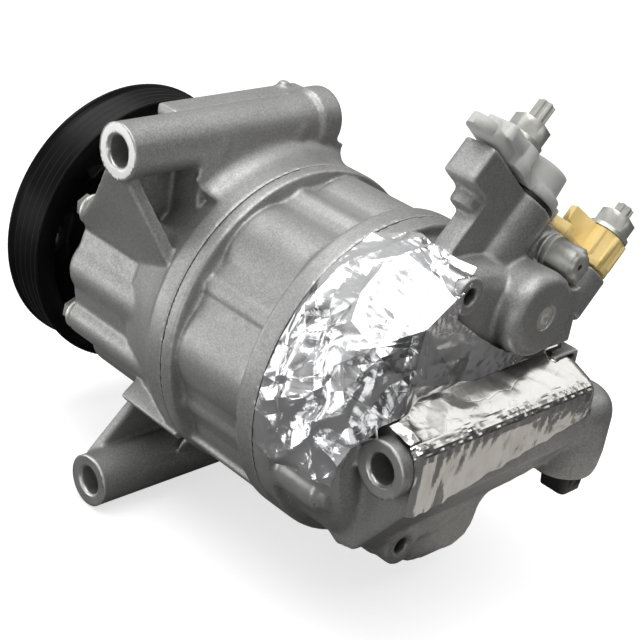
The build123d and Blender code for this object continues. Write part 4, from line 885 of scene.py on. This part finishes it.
def add_light(name, location, target, width, height, power, colour=(1, 1, 1)):
    data = bpy.data.lights.new(name, "AREA")
    data.shape = "RECTANGLE"
    data.size = width
    data.size_y = height
    data.energy = power
    data.color = colour
    aim = Vector(target) - Vector(location)
    obj = link_object(name, data)
    obj.location = location
    obj.rotation_mode = "QUATERNION"
    obj.rotation_quaternion = aim.to_track_quat("-Z", "Y")
    return obj


MIDDLE = (0, 0.09, 0)
# name, location, target, width, height (m), power (W), and a colour where it isn't white
LIGHTS = [
    ("key_top", (0.10, -0.04, 0.95), MIDDLE, 0.8, 0.8, 6.0),
    ("left_front", (0.30, -0.21, 0.13), (0.02, 0.02, 0.02), 0.30, 0.3, 0.24),
    ("far_right", (-0.75, 0.30, 0.55), MIDDLE, 0.5, 0.6, 0.7),
    ("back_top", (0.12, 0.52, 0.66), (0.0, 0.16, 0.03), 0.40, 0.4, 1.1),
    ("fill_cam", (0.60, 0.55, 0.10), MIDDLE, 0.30, 0.4, 0.30),
]
# small cards that mostly show in the bright foil and the polished edges
CARDS = [
    ("card_rear", (0.33, 0.92, 0.03), (0.042, 0.178, 0.024), 0.36, 0.30, 0.36),
    ("card_low", (-0.085, 0.242, -0.0712), (-0.085, 0.2421, 0.3), 0.13, 0.13, 0.019,
     (1.0, 0.95, 0.89)),
    ("card_front", (0.27, -0.17, -0.069), (0.04, 0.0, 0.05), 0.26, 0.26, 0.36),
    ("card_side", (0.48, 0.19, 0.00), (0.05, 0.15, 0.01), 0.34, 0.24, 0.42),
]


def add_camera():
    data = bpy.data.cameras.new("camera")
    data.lens = 84.77
    data.sensor_width = 36
    data.clip_start = 0.01
    data.clip_end = 30
    camera = bpy.data.objects.new("camera", data)
    position = Vector((359.08, 438.97, 248.53)) * MM
    forward = Vector((-0.65863, -0.60659, -0.44526)).normalized()
    right = Vector((-0.72096, 0.67816, 0.14257)).normalized()
    up = right.cross(forward).normalized()
    right = forward.cross(up).normalized()
    turn = Matrix((right, up, -forward)).transposed()
    camera.matrix_world = Matrix.Translation(position) @ turn.to_4x4()
    bpy.context.scene.collection.objects.link(camera)
    bpy.context.scene.camera = camera


add_floor()
add_world()
for light in LIGHTS:
    add_light(*light)
for card in CARDS:
    add_light(*card).visible_camera = False
add_camera()
bpy.context.scene.view_settings.view_transform = "Standard"
